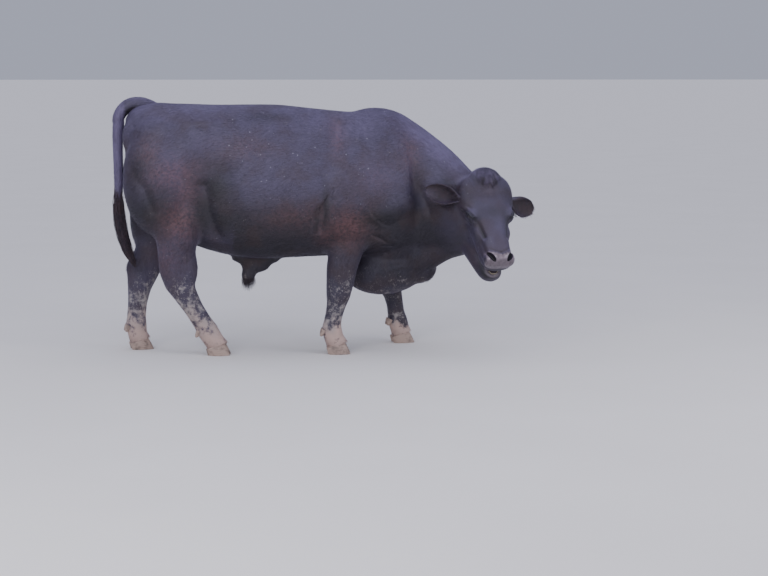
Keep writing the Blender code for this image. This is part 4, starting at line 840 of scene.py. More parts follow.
def face_openings():
    """The slits between the lids, the eye sockets, the nostrils and the gap between the lips."""
    openings = []
    for side in (RIGHT, LEFT):
        spot = (EYE[0], EYE[1] + SLIT_RISE, (EYE[2] + 0.018) * side)
        openings.append(head_ball(spot, (0.027, 0.0090, 0.026), (0.0, 0.0, EYE_SLANT)))
        socket = EYE_RADIUS + 0.0005
        openings.append(head_ball((*EYE[:2], EYE[2] * side), (socket, socket, socket)))
        openings.append(nostril(side))
    bm = bmesh.new()
    matrix = head_matrix((0.530, LIP_LINE - 0.003, 0.0), (0.190, 0.008, 0.240))
    bmesh.ops.create_cube(bm, size=1.0, matrix=matrix)
    down_axis, out_axis, _ = head_axes()
    # The gap closes towards the corners of the mouth
    for vert in bm.verts:
        along = (vert.co - POLL).dot(down_axis)
        if along < 0.5:
            vert.co -= out_axis * ((vert.co - POLL).dot(out_axis) - LIP_LINE) * 0.92
    openings.append(from_bmesh("lips", bm))
    return openings


def foot_blocks():
    """Blocks that end the skin of each leg a little below the top of its hoof."""
    blocks = []
    for foot in FEET:
        middle, ahead, slope = coronet(foot)
        aside = UP.cross(ahead)
        facing = slope.cross(aside)
        axes = Matrix([slope, aside, facing]).transposed().to_4x4()
        sized = axes @ Matrix.Diagonal((0.24, 0.20, 0.12, 1.0))
        bm = bmesh.new()
        bmesh.ops.create_cube(bm, size=1.0, matrix=Matrix.Translation(middle - facing * 0.067) @ sized)
        blocks.append(from_bmesh("foot_block", bm))
    return blocks


def inner_shares(points, cover):
    """1 inside the nostrils, the mouth and the sockets, by the depth under the closed skin."""
    depth = np.zeros(len(points))
    for number in np.flatnonzero(near_head(points, 0.26) > 0.5):
        depth[number] = cover.find_nearest(Vector(points[number]))[3]
    return ramp(depth, 0.002, 0.007)


def near_places(points, places, reach):
    """1 at any of the places, falling smoothly to 0 at reach."""
    nearest = np.full(len(points), 1e9)
    for place in places:
        nearest = np.minimum(nearest, np.linalg.norm(points - np.array(place), axis=1))
    return np.clip(1.5 * (1.0 - nearest / reach), 0.0, 1.0)


def whole_skin():
    """The bull's skin, one closed surface with ears, tail and openings, and how far in each point is."""
    bm = bmesh.new()
    add_trunk(bm)
    add_neck(bm)
    add_head(bm)
    add_legs(bm)
    skin = from_bmesh("skin", bm)
    remesh(skin, VOXEL)
    mesh = skin.data
    points = mesh_points(mesh)
    on_legs = np.clip((points[:, 2] - 0.30) / 0.3, 0.3, 1.0)
    relax(mesh, RELAX_ROUNDS, np.minimum(on_legs, 1.0 - 0.80 * near_head(points, HEAD_REACH)))
    middle = [
        (width, rise, [on_head(*spot) for spot in line])
        for _, width, rise, *line in HEAD_MIDDLE_LINES
    ]
    sculpt(mesh, both_sides(BODY_LINES, HEAD_LINES) + middle)
    relax(mesh, 8, np.full(len(points), 0.6))
    split_head_faces(skin)
    points = mesh_points(mesh)
    relax(mesh, 5, 0.7 * near_head(points, HEAD_REACH))
    throat = [(width, rise, line) for _, width, rise, *line in THROAT_LINES]
    sculpt(mesh, throat + both_sides(FINE_BODY_LINES, FINE_HEAD_LINES))
    relax(mesh, 2, np.full(len(points), 0.5))
    thin_out(skin, HEAD_TRIANGLES, near_head(points, HEAD_REACH) > 0.5)
    thin_out(skin, BODY_TRIANGLES, near_head(mesh_points(skin.data), HEAD_REACH) <= 0.5)
    points = mesh_points(skin.data)
    set_points(skin.data, points - vertex_ways(skin.data) * skin_depth(points)[:, None])
    tail_rows = [(x + 0.005 * (z < 1.33), z, radius - 0.003) for x, z, radius in smooth_rows(TAIL, 6)]
    tail_rows += [(x, z, radius * 0.55) for x, z, radius in smooth_rows(SWITCH[1:5], 4)]
    boolean(skin, [ear(RIGHT), ear(LEFT), tube("tail", tail_rows, 30)], "UNION")
    cover = skin_tree(skin)
    boolean(skin, face_openings() + foot_blocks(), "DIFFERENCE")
    points = mesh_points(skin.data)
    joins = [on_head(*row[:3], side) for side in (RIGHT, LEFT) for row in NOSTRIL_ROWS]
    rims = near_places(points, joins, 0.030)
    roots = [ear_frame(side)[0] + ear_frame(side)[1] * 0.03 for side in (RIGHT, LEFT)]
    relax(skin.data, 5, np.maximum(0.5 * rims, 0.8 * near_places(points, roots, 0.060)))
    return skin, inner_shares(mesh_points(skin.data), cover)


def head_places(points):
    """Points in the head's own axes: along the face, out of it, to its left."""
    axes = np.array([axis.to_tuple() for axis in head_axes()])
    return (points - np.array(POLL)) @ axes.T


def unit(rows):
    return rows / np.maximum(np.linalg.norm(rows, axis=-1, keepdims=True), 1e-9)


def ramp(values, start, end):
    """0 at start, 1 at end and smooth between."""
    share = np.clip((values - start) / (end - start), 0.0, 1.0)
    return share * share * (3.0 - 2.0 * share)


# Rusty brown patches of each side: centre, radii, strength.
RUST_SPOTS = (
    ((0.29, 0.31, 0.735), (0.12, 0.12, 0.12), 1.0),
    ((0.17, 0.31, 0.69), (0.07, 0.12, 0.09), 0.7),
    ((0.24, 0.2, 1.24), (0.05, 0.14, 0.15), 0.75),
    ((0.66, 0.21, 1.15), (0.07, 0.12, 0.14), 0.75),
    ((0.45, 0.28, 1.02), (0.11, 0.14, 0.09), 0.4),
    ((-0.7, 0.3, 1.04), (0.17, 0.14, 0.09), 0.95),
    ((-0.83, 0.27, 1.15), (0.09, 0.14, 0.09), 0.75),
    ((-0.655, 0.28, 0.78), (0.1, 0.14, 0.14), 0.95),
    ((-0.62, 0.285, 0.95), (0.09, 0.14, 0.1), 0.75),
    ((-0.74, 0.23, 0.58), (0.09, 0.14, 0.12), 0.55),
    ((-0.3, 0.3, 1.18), (0.2, 0.16, 0.07), 0.4),
    ((0.0, 0.34, 0.8), (0.24, 0.12, 0.1), 0.35),
)

# Painted shade in the hollows, creases and low places of each side: centre, radii, strength.
PAINTED_SHADE_SPOTS = (
    ((-0.45, 0.3, 0.96), (0.11, 0.12, 0.14), 1.0),
    ((-0.51, 0.3, 0.82), (0.065, 0.14, 0.17), 1.0),
    ((-0.42, 0.29, 0.76), (0.11, 0.14, 0.1), 0.8),
    ((-0.88, 0.24, 1.05), (0.07, 0.12, 0.17), 0.9),
    ((-0.76, 0.3, 0.9), (0.09, 0.14, 0.12), 0.5),
    ((0.6, 0.1, 0.5), (0.24, 0.16, 0.12), 0.6),
    ((-0.82, 0.25, 0.9), (0.06, 0.12, 0.15), 0.8),
    ((-0.8, 0.265, 0.84), (0.035, 0.1, 0.13), 0.7),
    ((0.46, 0.3, 0.775), (0.11, 0.1, 0.05), 0.9),
    ((0.16, 0.345, 0.86), (0.022, 0.1, 0.12), 0.9),
    ((0.112, 0.35, 0.79), (0.016, 0.1, 0.07), 0.7),
    ((-0.18, 0.19, 1.35), (0.19, 0.1, 0.035), 0.6),
    ((0.69, 0.235, 0.95), (0.05, 0.12, 0.17), 0.7),
)

# The bare grey-pink leather of the nose in the head's own axes: its upper edge in the middle,
# where the middle is, its lower edge and its half width.
PAD_START = 0.520
PAD_MIDDLE = 0.006
PAD_LOW = -0.074
PAD_HALF = 0.078

# How muddy the legs are, by height.
MUD_HEIGHTS = (0.00, 0.09, 0.15, 0.22, 0.30, 0.40, 0.50)
MUD_LEVELS = (1.10, 1.06, 0.90, 0.80, 0.66, 0.46, 0.00)

# Painted shade along the cleft over and before each eye: along the face, out of it, aside.
EYE_CLEFT_PAINTED_SHADE = (
    (0.208, -0.080, 0.154),
    (0.237, -0.047, 0.144),
    (0.266, -0.022, 0.131),
    (0.299, -0.034, 0.100),
    (0.345, -0.040, 0.082),
    (0.395, -0.036, 0.070),
)


def in_spots(points, spots):
    """The strength of the nearest spot of either side at each point."""
    sided = points.copy()
    sided[:, 1] = np.abs(sided[:, 1])
    most = np.zeros(len(points))
    for centre, radii, strength in spots:
        reach = np.linalg.norm((sided - np.array(centre)) / np.array(radii), axis=1)
        most = np.maximum(most, strength * np.exp(-(reach**2)))
    return most


def nose_leather(places):
    """1 on the bare pad between the nostrils, fading unevenly into the hair."""
    along, out, aside = places.T
    ragged = 0.0022 * np.sin(310.0 * aside) + 0.0018 * np.sin(530.0 * aside + 190.0 * out)
    edge = PAD_START - 0.36 * np.abs(aside - PAD_MIDDLE) + ragged
    wide = PAD_HALF + 0.20 * np.clip(along - 0.53, -0.02, 0.03) + ragged
    pad = ramp(along, edge - 0.006, edge + 0.008) * ramp(out, PAD_LOW - 0.014, PAD_LOW + 0.010)
    pad *= 1.0 - ramp(np.abs(aside), wide, wide + 0.014)
    lip = ramp(along, 0.470, 0.520) * (1.0 - ramp(np.abs(out - LIP_LINE + 0.014), 0.003, 0.010))
    return np.maximum(pad, 0.55 * lip) * (along < 0.70)


def near_nostrils(places, margin):
    """Whether each point is over a nostril, or less than the margin beside it."""
    along, out, aside = places[:, 0], places[:, 1], np.abs(places[:, 2])
    over = np.zeros(len(places), bool)
    for row_along, _, row_aside, radius in smooth_rows(NOSTRIL_ROWS, 2):
        over |= np.hypot(along - row_along, aside - row_aside) < radius + margin
    return over & (out > -0.09)


def markings(points, ups):
    """Rust, mud, nose leather and darkness of the skin or the coat at each point; most of the darkness is
    painted shade.
    """
    x, y, z = points.T
    places = head_places(points)
    along, out, _ = places.T
    ears, _ = on_ear(points)
    rust = in_spots(points, RUST_SPOTS) * (1.0 - near_head(points, 0.25))
    rust = np.maximum(rust, 0.30 * ears)
    uneven = z + 0.024 * np.sin(23.0 * x + 31.0 * y) + 0.014 * np.sin(71.0 * x - 53.0 * y + 40.0 * z)
    legs = np.interp(uneven, MUD_HEIGHTS, MUD_LEVELS)
    legs *= 1.0 - np.where(y < 0.0, 0.12, 0.36) * (x > 0.0) * ramp(uneven, 0.10, 0.18)
    low = 1.0 - ramp(z, 0.36, 0.50)
    brisket = 0.36 * low * ramp(x, 0.20, 0.40) * (1.0 - near_head(points, 0.30))
    mud = np.maximum(legs * (x < 0.80), brisket) * (x < 0.90)
    leather = nose_leather(places)
    lips = ramp(along, 0.430, 0.500) * ramp(out, -0.196, -0.180)
    lips *= (1.0 - ramp(out, -0.128, -0.112)) * (along < 0.70)
    eyes = [on_head(*EYE[:2], EYE[2] + 0.012, side) for side in (RIGHT, LEFT)]
    clefts = [on_head(*row, side) for row in smooth_rows(EYE_CLEFT_PAINTED_SHADE, 6) for side in (RIGHT, LEFT)]
    dark = np.maximum.reduce([
        # Painted shade in the hollows and creases of the body
        in_spots(points, PAINTED_SHADE_SPOTS),
        # Painted shade around each eye and along its cleft
        0.6 * near_places(points, eyes, 0.044),
        near_places(points, clefts, 0.0150),
        0.8 * lips * (1.0 - leather),
        0.45 * ears,
        # The lower nose leather darker, so that its upper edge shows a painted highlight
        0.9 * ramp(along, 0.530, 0.552) * leather,
        # Painted shade on faces turned down
        0.6 * ramp(-ups, 0.2, 0.9) * ramp(z, 0.40, 0.50),
    ])
    return np.stack([rust, mud, leather, dark], axis=1)


def painted_sheen_and_dust(points, ups, stains):
    """How much dust and painted sheen each point has: most on back, crest and tail, less below; faces
    turned up are lighter, a painted highlight.
    """
    x, y, z = points.T
    head = near_head(points, 0.27)
    # Painted sheen: faces turned up and the upper sides are lighter, as if lit from above
    top = ramp(ups, 0.05, 0.90) * ramp(z, 0.80, 1.20) * (1.0 + 0.80 * ramp(x, 0.50, 0.75))
    sides = 0.62 * ramp(z, 0.72, 1.02) * ramp(ups, -0.5, 0.1) * (1.0 - head)
    legs = 0.40 * (1.0 - ramp(z, 0.60, 0.85)) * (x < -0.35)
    legs += 0.20 * (1.0 - ramp(z, 0.50, 0.70)) * (x > 0.0)
    tail = 1.35 * ((x < -0.95) & (np.abs(y) < 0.07))
    face = near_head(points, FACE_REACH) * (0.20 + 0.44 * ramp(ups, 0.1, 0.7))
    most = np.maximum.reduce([top, sides, legs * (1.0 - head), tail, face])
    return most * (1.0 - 0.90 * stains[:, 3]) * (1.0 - 0.35 * stains[:, 0])


def on_ear(points):
    """How surely each point is on an ear, and the unit way to that ear's tip."""
    share_on = np.zeros(len(points))
    way = np.zeros((len(points), 3))
    for side in (RIGHT, LEFT):
        root, reach, _, _ = (np.array(part) for part in ear_frame(side))
        share = (points - root) @ reach / EAR_LENGTH
        off = np.linalg.norm(points - root - np.clip(share, 0, 1)[:, None] * reach * EAR_LENGTH, axis=1)
        on = ramp(share, 0.14, 0.30) * (1.0 - ramp(off, 0.066, 0.080))
        share_on = np.maximum(share_on, on)
        way += on[:, None] * reach
    return share_on, way


def nearest_neck(points):
    """Where the neck is nearest to each point in plan: its share, its heading and its spot."""
    shares = np.linspace(0.0, 1.0, 41)
    spots = np.array([neck_place(share)[0] for share in shares])[:, :2]
    headings = np.array([neck_place(share)[1] for share in shares])
    nearest = ((points[:, None, :2] - spots[None]) ** 2).sum(axis=2).argmin(axis=1)
    return shares[nearest], headings[nearest], spots[nearest]


def coat_lie(points, outs, rng):
    """The unit way in which the hair lies at each point, along the skin."""
    x, y, z = points.T
    along, out, aside = head_places(points).T
    down_axis, out_axis, left_axis = (np.array(axis) for axis in head_axes())
    lie = np.tile(np.array([-1.0, 0.0, -0.28]), (len(points), 1))
    lie[:, 2] -= 0.5 * ramp(-x, 0.45, 0.80)
    _, heading, _ = nearest_neck(points)
    back = np.stack([-np.cos(heading), -np.sin(heading), np.full(len(points), -0.42)], axis=1)
    legs = (1.0 - ramp(z, 0.50, 0.66)) * (x < 0.80)
    legs = legs * (1.0 - ramp(-outs[:, 2], 0.3, 0.8) * (z > 0.42))
    from_poll = np.clip((along - 0.135) / 0.05, -1.0, 1.0)[:, None]
    from_middle = np.clip(aside / 0.10, -1.0, 1.0)[:, None]
    lower = 1.0 - ramp(out, -0.22, -0.06)[:, None]
    face = from_poll * down_axis * (1.0 - 0.9 * lower) + from_middle * left_axis * 0.35 - out_axis * 0.20
    face = face - lower * (0.6 * down_axis + 0.5 * out_axis)
    tail = ((x < -0.952) & (np.abs(y) < 0.07)).astype(float)
    for share, way in (
        (ramp(x, 0.50, 0.66), back),
        (legs, np.array([-0.10, 0.0, -1.0])),
        (near_head(points, FACE_REACH), face),
        (tail, DOWN),
    ):
        lie = lie * (1.0 - share[:, None]) + way * share[:, None]
    ears, way = on_ear(points)
    lie = lie * (1.0 - ears[:, None]) + way
    swirl = 0.22 * np.sin(17.0 * x + 9.0 * z) + 0.16 * np.sin(31.0 * z - 23.0 * x + 12.0 * y)
    swirl += 0.12 * np.sin(67.0 * x + 41.0 * z) + rng.normal(0.0, 0.16, len(points))
    lie = unit(lie - outs * (lie * outs).sum(axis=1, keepdims=True))
    side = np.cross(outs, lie)
    return unit(lie * np.cos(swirl)[:, None] + side * np.sin(swirl)[:, None])


def coat_length(points, outs):
    """Length of the hair at each point: short on face and feet, longer below and on the crest."""
    x, y, z = points.T
    along, _, _ = head_places(points).T
    length = np.full(len(points), 0.021)
    length += 0.008 * ramp(x, 0.30, 0.60) * ramp(z, 1.05, 1.30)
    length += 0.004 * ramp(-outs[:, 2], 0.2, 0.9) * ramp(z, 0.38, 0.45)
    length += 0.012 * ramp(x, 0.36, 0.55) * (1.0 - ramp(z, 0.42, 0.62))
    length += 0.008 * ramp(-x, 0.78, 0.92) * (1.0 - ramp(z, 0.95, 1.15))
    legs = (1.0 - ramp(z, 0.34, 0.55)) * (x < 0.80)
    length = length * (1.0 - legs) + 0.012 * legs
    length += 0.008 * (1.0 - ramp(z, 0.075, 0.105))
    face = near_head(points, FACE_REACH)
    face_length = 0.009 - 0.004 * ramp(along, 0.34, 0.48)
    face_length += 0.010 * (1.0 - ramp(along, 0.10, 0.20))
    length = length * (1.0 - face) + face_length * face
    navel = (np.abs(x + 0.22) < 0.24) & (z < 0.60) & (np.abs(y) < 0.13)
    length = np.where(navel, np.minimum(length, 0.015), length)
    chin = near_head(points, 0.34) * ramp(along, 0.30, 0.42)
    length = length * (1.0 - chin) + np.minimum(length, 0.008) * chin
    ears, _ = on_ear(points)
    return length * (1.0 - ears) + 0.013 * ears


COAT_TUFTS = 300000
TUFT_TILT = 0.17           # how unevenly the tufts lie, as a share of their way out
PATCH = 0.0028             # breadth of a tuft's patch on the unwrapped skin

# Share of a hair's length, and of its width there.
BLADE = ((0.0, 0.35, 0.75, 1.0), (0.65, 1.0, 0.75, 0.12))


def spread_roots(skin, count, density, rng):
    """Places spread over the skin by a density per area, with the way out of it at each."""
    corners = triangle_corners(skin.data)
    points, ways = mesh_points(skin.data), vertex_ways(skin.data)
    a, b, c = (points[corners[:, k]] for k in range(3))
    area = np.linalg.norm(np.cross(b - a, c - a), axis=1) / 2
    weight = area * density((a + b + c) / 3, unit(np.cross(b - a, c - a)))
    steps = (np.arange(count) + rng.random(count)) / count * weight.sum()
    picked = np.searchsorted(np.cumsum(weight), steps).clip(0, len(weight) - 1)
    first, second = np.sqrt(rng.random(count)), rng.random(count)
    shares = np.stack([1 - first, first * (1 - second), first * second], axis=1)[:, :, None]
    chosen = corners[picked]
    return (points[chosen] * shares).sum(axis=1), unit((ways[chosen] * shares).sum(axis=1))


def coat_density(points, outs):
    """Tufts for each area: more on the head, ears and feet, none on bare leather or in openings."""
    x, y, z = points.T
    places = head_places(points)
    along, out, aside = places.T
    ears, _ = on_ear(points)
    density = 1.0 + 2.4 * near_head(points, FACE_REACH) + 0.7 * (1.0 - ramp(z, 0.30, 0.50))
    density += 0.25 * ramp(x, 0.55, 0.70) + 1.5 * ears
    bare = (nose_leather(places) > 0.45) | near_nostrils(places, 0.004)
    for side in (RIGHT, LEFT):
        bare |= np.linalg.norm(points - np.array(on_head(*EYE, side)), axis=1) < EYE_RADIUS + 0.0030
    bare |= (along > 0.43) & (np.abs(out - LIP_LINE) < 0.013) & (np.abs(aside) < 0.09)
    bare |= (x < -0.955) & (np.abs(y) < 0.06) & (z < 0.93)
    return density * ~bare


def hair_piece(name, paths, outs, widths, stains, shades, unwrap, thick=0.45, round_by=0.0):
    """Joined closed blades of hair. paths holds a row of points for each step, root to tip.

    unwrap tells where on the unwrapped skin the patch of a blade lies, from its root. With round_by
    above 0 each blade shades as part of the coat, its edges turned away by that much.
    """
    steps = len(paths) - 1
    count = paths.shape[1]
    rows, spots, faces = [], [], []
    for step in range(steps):
        share = step / steps
        ahead = unit(paths[step + 1] - paths[max(step - 1, 0)])
        side = unit(np.cross(outs, ahead))
        rise = np.cross(ahead, side)
        half = (widths / 2 * np.interp(share, *BLADE))[:, None]
        rows += [
            paths[step] - side * half - rise * half * thick / 2,
            paths[step] + side * half - rise * half * thick / 2,
            paths[step] + rise * half * thick,
        ]
        spots += [(-0.5, share - 0.5), (0.5, share - 0.5), (0.0, share - 0.5)]
        faces += [outs - side * round_by, outs + side * round_by, outs]
    rows.append(paths[-1])
    spots.append((0.0, 0.5))
    faces.append(outs + ahead * round_by * 0.4)
    per = len(rows)
    verts = np.stack(rows, axis=1).reshape(-1, 3)
    last, tip = per - 4, per - 1
    quads = [
        row + corner
        for row in range(0, last, 3)
        for first, second in ((0, 1), (1, 2), (2, 0))
        for corner in (first, second, second + 3, first + 3)
    ]
    corners = [last, last + 1, tip, last + 1, last + 2, tip, last + 2, last, tip, 0, 2, 1]
    starts = (np.arange(count) * per)[:, None]
    loops = np.concatenate([(starts + np.array(part, int)).ravel() for part in (quads, corners)])
    sizes = np.repeat([4, 3], [count * len(quads) // 4, count * len(corners) // 3])
    mesh = bpy.data.meshes.new(name)
    mesh.vertices.add(len(verts))
    mesh.vertices.foreach_set("co", verts.astype(np.float32).ravel())
    mesh.loops.add(len(loops))
    mesh.loops.foreach_set("vertex_index", loops.astype(np.int32))
    mesh.polygons.add(len(sizes))
    mesh.polygons.foreach_set("loop_start", (np.cumsum(sizes) - sizes).astype(np.int32))
    mesh.update(calc_edges=True)
    places = unwrap(paths[0]).clip(0.003, 0.997)
    flat = (places[:, None, :] + np.array(spots) * PATCH).reshape(-1, 2).clip(0.0005, 0.9995)
    layer = mesh.uv_layers.new(name="OFBake")
    layer.uv.foreach_set("vector", flat[loops].astype(np.float32).ravel())
    set_paint(mesh, stain=np.repeat(stains, per, axis=0), shade=np.repeat(shades, per, axis=0))
    mesh.shade_smooth()
    if round_by > 0:
        mesh.normals_split_custom_set_from_vertices(unit(np.stack(faces, axis=1)).reshape(-1, 3))
    return add_object(name, mesh)


def set_paint(mesh, **fields):
    """Stores rows of 3 or 4 values for each vertex, where the materials read them by name."""
    for name, rows in fields.items():
        if rows.shape[1] == 3:
            rows = np.concatenate([rows, np.ones((len(rows), 1))], axis=1)
        layer = mesh.attributes.new(name, "FLOAT_COLOR", "POINT")
        layer.data.foreach_set("color", np.ascontiguousarray(rows, np.float32).ravel())


def turns(across, up):
    return (np.arctan2(across, up) / (2.0 * math.pi)) % 1.0


def trunk_unwrap(points):
    return np.stack([turns(points[:, 1], points[:, 2] - 0.95), (points[:, 0] + 1.05) / 2.0], axis=1)


def half_trunk_unwrap(start, end):
    """One side of that stretch of the trunk, from the back down to the belly, fills the square."""
    def unwrap(points):
        down = np.arctan2(np.abs(points[:, 1]), points[:, 2] - 0.95) / math.pi
        return np.stack([(points[:, 0] - start) / (end - start), down], axis=1)

    return unwrap


def neck_unwrap(points):
    share, heading, spots = nearest_neck(points)
    x, y = (points[:, :2] - spots).T
    aside = -np.sin(heading) * x + np.cos(heading) * y
    ahead = np.cos(heading) * x + np.sin(heading) * y
    return np.stack([turns(aside, points[:, 2] - 0.85), (share + ahead / 2.0 + 0.3) / 1.6], axis=1)


def head_unwrap(points):
    places = head_places(points)
    return np.stack([turns(places[:, 2], places[:, 1] + 0.14), (places[:, 0] + 0.12) / 0.76], axis=1)


def half_head_unwrap(points):
    """One side of the head fills the square."""
    spots = head_unwrap(points)
    spots[:, 0] = spots[:, 0] * 2.0 % 1.0
    return spots


def ear_unwrap(points):
    spots = np.zeros((len(points), 2))
    for number, side in enumerate((RIGHT, LEFT)):
        root, reach, back, broad = (np.array(part) for part in ear_frame(side))
        off = points - root
        near = np.linalg.norm(off - 0.5 * EAR_LENGTH * reach, axis=1) < 0.17
        turn = (number + turns(off @ broad, off @ back)) / 2.0
        spots[near] = np.stack([turn, off @ reach / EAR_LENGTH / 1.2 + 0.05], axis=1)[near]
    return spots


def leg_unwrap(joints, across):
    """Each leg unrolled about its middle line: the right one in the first half, then the left."""
    def unwrap(points):
        x, y, z = points.T
        spots = np.zeros((len(points), 2))
        for number, side in enumerate((RIGHT, LEFT)):
            line_x, line_z = (np.array(joints[side][::-1])[:, k] for k in (0, 1))
            ahead = np.interp(z, line_z, line_x)
            aside = np.interp(z, line_z, across[::-1]) * side
            rows = np.stack([(number + turns(x - ahead, y - aside)) / 2.0, z / 0.75], axis=1)
            spots[y * side > 0] = rows[y * side > 0]
        return spots

    return unwrap


def tail_unwrap(points):
    x, y, z = points.T
    line_x, line_z, _ = np.array(TAIL[:2:-1]).T
    return np.stack([turns(y, x - np.interp(z, line_z, line_x)), (z - 0.45) / 1.05], axis=1)


def coat_parts(points):
    """The pieces that the coat is sewn from: a name, who belongs to it, and its unwrap."""
    x, y, z = points.T
    aside = head_places(points)[:, 2]
    ears, _ = on_ear(points)
    ear_part = ears > 0.5
    head_part = (near_head(points, 0.25) > 0.5) & ~ear_part
    tail_part = (x < -0.952) & (np.abs(y) < 0.07)
    rest = ~(ear_part | head_part | tail_part)
    neck_part = rest & (x > 0.62) & (z > 0.42)
    fore_part = rest & ~neck_part & (z < 0.56) & (x > 0.05) & ((np.abs(y) > 0.13) | (z < 0.42))
    hind_part = rest & ~neck_part & (z < 0.62) & (x < -0.40) & (np.abs(y) > 0.07)
    trunk = rest & ~(neck_part | fore_part | hind_part)
    parts = [
        ("ears", ear_part, ear_unwrap),
        ("head_right", head_part & (aside * RIGHT > 0), half_head_unwrap),
        ("head_left", head_part & (aside * RIGHT <= 0), half_head_unwrap),
        ("tail", tail_part, tail_unwrap),
        ("neck", neck_part, neck_unwrap),
        ("forelegs", fore_part, leg_unwrap(FORE_JOINTS, FORE_ACROSS)),
        ("hindlegs", hind_part, leg_unwrap(HIND_JOINTS, HIND_ACROSS)),
    ]
    for word, start, end in (("rump", -1.10, -0.45), ("ribs", -0.45, 0.20), ("shoulder", 0.20, 0.90)):
        stretch = trunk & (x >= start) & (x < end)
        for side_word, here in (("right", y < 0), ("left", y >= 0)):
            parts.append((f"{word}_{side_word}", stretch & here, half_trunk_unwrap(start, end)))
    return parts


def hair_shades(count, rng, dust=0.0):
    """Two random shades for each hair, and how much dust and painted sheen it has."""
    return np.stack([rng.random(count), rng.random(count), np.full(count, dust)], axis=1)


def short_coat(skin, rng):
    """Tufts over the whole skin, lying along it, in pieces for the parts of the body."""
    roots, outs = spread_roots(skin, COAT_TUFTS, coat_density, rng)
    lies = coat_lie(roots, outs, rng)
    lengths = coat_length(roots, outs) * rng.uniform(0.75, 1.25, len(roots))
    widths = np.clip(lengths * rng.uniform(0.12, 0.20, len(roots)), 0.0012, 0.0038)
    lifts = np.clip(lengths * rng.uniform(0.05, 0.15, len(roots)), 0.0008, 0.0032)
    paths = np.stack([roots - outs * 0.0003, roots + lies * lengths[:, None] + outs * lifts[:, None]])
    stains = markings(roots, outs[:, 2])
    shades = hair_shades(len(roots), rng, painted_sheen_and_dust(roots, outs[:, 2], stains))
    tilted = unit(outs + rng.normal(0.0, TUFT_TILT, outs.shape))
    return [
        hair_piece(f"coat_{word}", paths[:, chosen], tilted[chosen], widths[chosen],
                   stains[chosen], shades[chosen], unwrap, 0.20, 0.55)
        for word, chosen, unwrap in coat_parts(roots)
    ]


SWITCH_HAIRS = 1500
FORELOCK_HAIRS = 2400
SHEATH_HAIRS = 420
FRINGE_HAIRS = 1100
LASHES = 34


def hair_stains(count, rust=0.0, mud=0.0, dark=0.0):
    """The markings of long hair, each one value or one for each hair."""
    return np.stack([np.full(count, part) for part in (rust, mud, 0.0, dark)], axis=1)


def tail_switch(rng):
    """The long hair of the tail: strands that follow its line, thickest at two thirds down."""
    rows = np.array(smooth_rows(SWITCH, 6))
    line = np.linspace(0.0, 1.0, len(rows))
    count = SWITCH_HAIRS
    steps = 6
    start = 0.62 * rng.random(count) ** 0.9 - 0.02
    run = rng.uniform(0.26, 0.44, count)
    angle = rng.uniform(0.0, 2.0 * math.pi, count)
    depth = rng.uniform(0.35, 1.0, count)
    phase = rng.uniform(0.0, 2.0 * math.pi, count)
    paths = []
    for step in range(steps + 1):
        share = step / steps
        along = np.clip(start + run * share, 0.0, 1.0)
        x, z, radius = (np.interp(along, line, rows[:, k]) for k in range(3))
        spread = radius * depth * (0.50 + 0.50 * share**0.6) * (1.0 - 0.10 * share)
        turn = angle + 0.35 * np.sin(phase + 2.6 * share)
        fore = spread * np.cos(turn) + 0.003 * np.sin(phase + 9.0 * share)
        aside = spread * np.sin(turn) + 0.003 * np.cos(2.0 * phase + 8.0 * share)
        drop = np.clip(start + run * share - 1.0, 0.0, 1.0) * 0.20
        paths.append(np.stack([x + fore, aside, z - drop], axis=1))
    outs = np.stack([np.cos(angle), np.sin(angle), np.zeros(count)], axis=1)
    widths = rng.uniform(0.0022, 0.0040, count)
    stains = hair_stains(count, 0.5 * rng.random(count), 0.25 * (paths[0][:, 2] < 0.70))
    return hair_piece("tail_switch_hair", np.stack(paths), outs, widths, stains,
                      hair_shades(count, rng), tail_unwrap)


def skin_tree(skin):
    return BVHTree.FromPolygons(
        [vert.co for vert in skin.data.vertices], [list(face.vertices) for face in skin.data.polygons]
    )


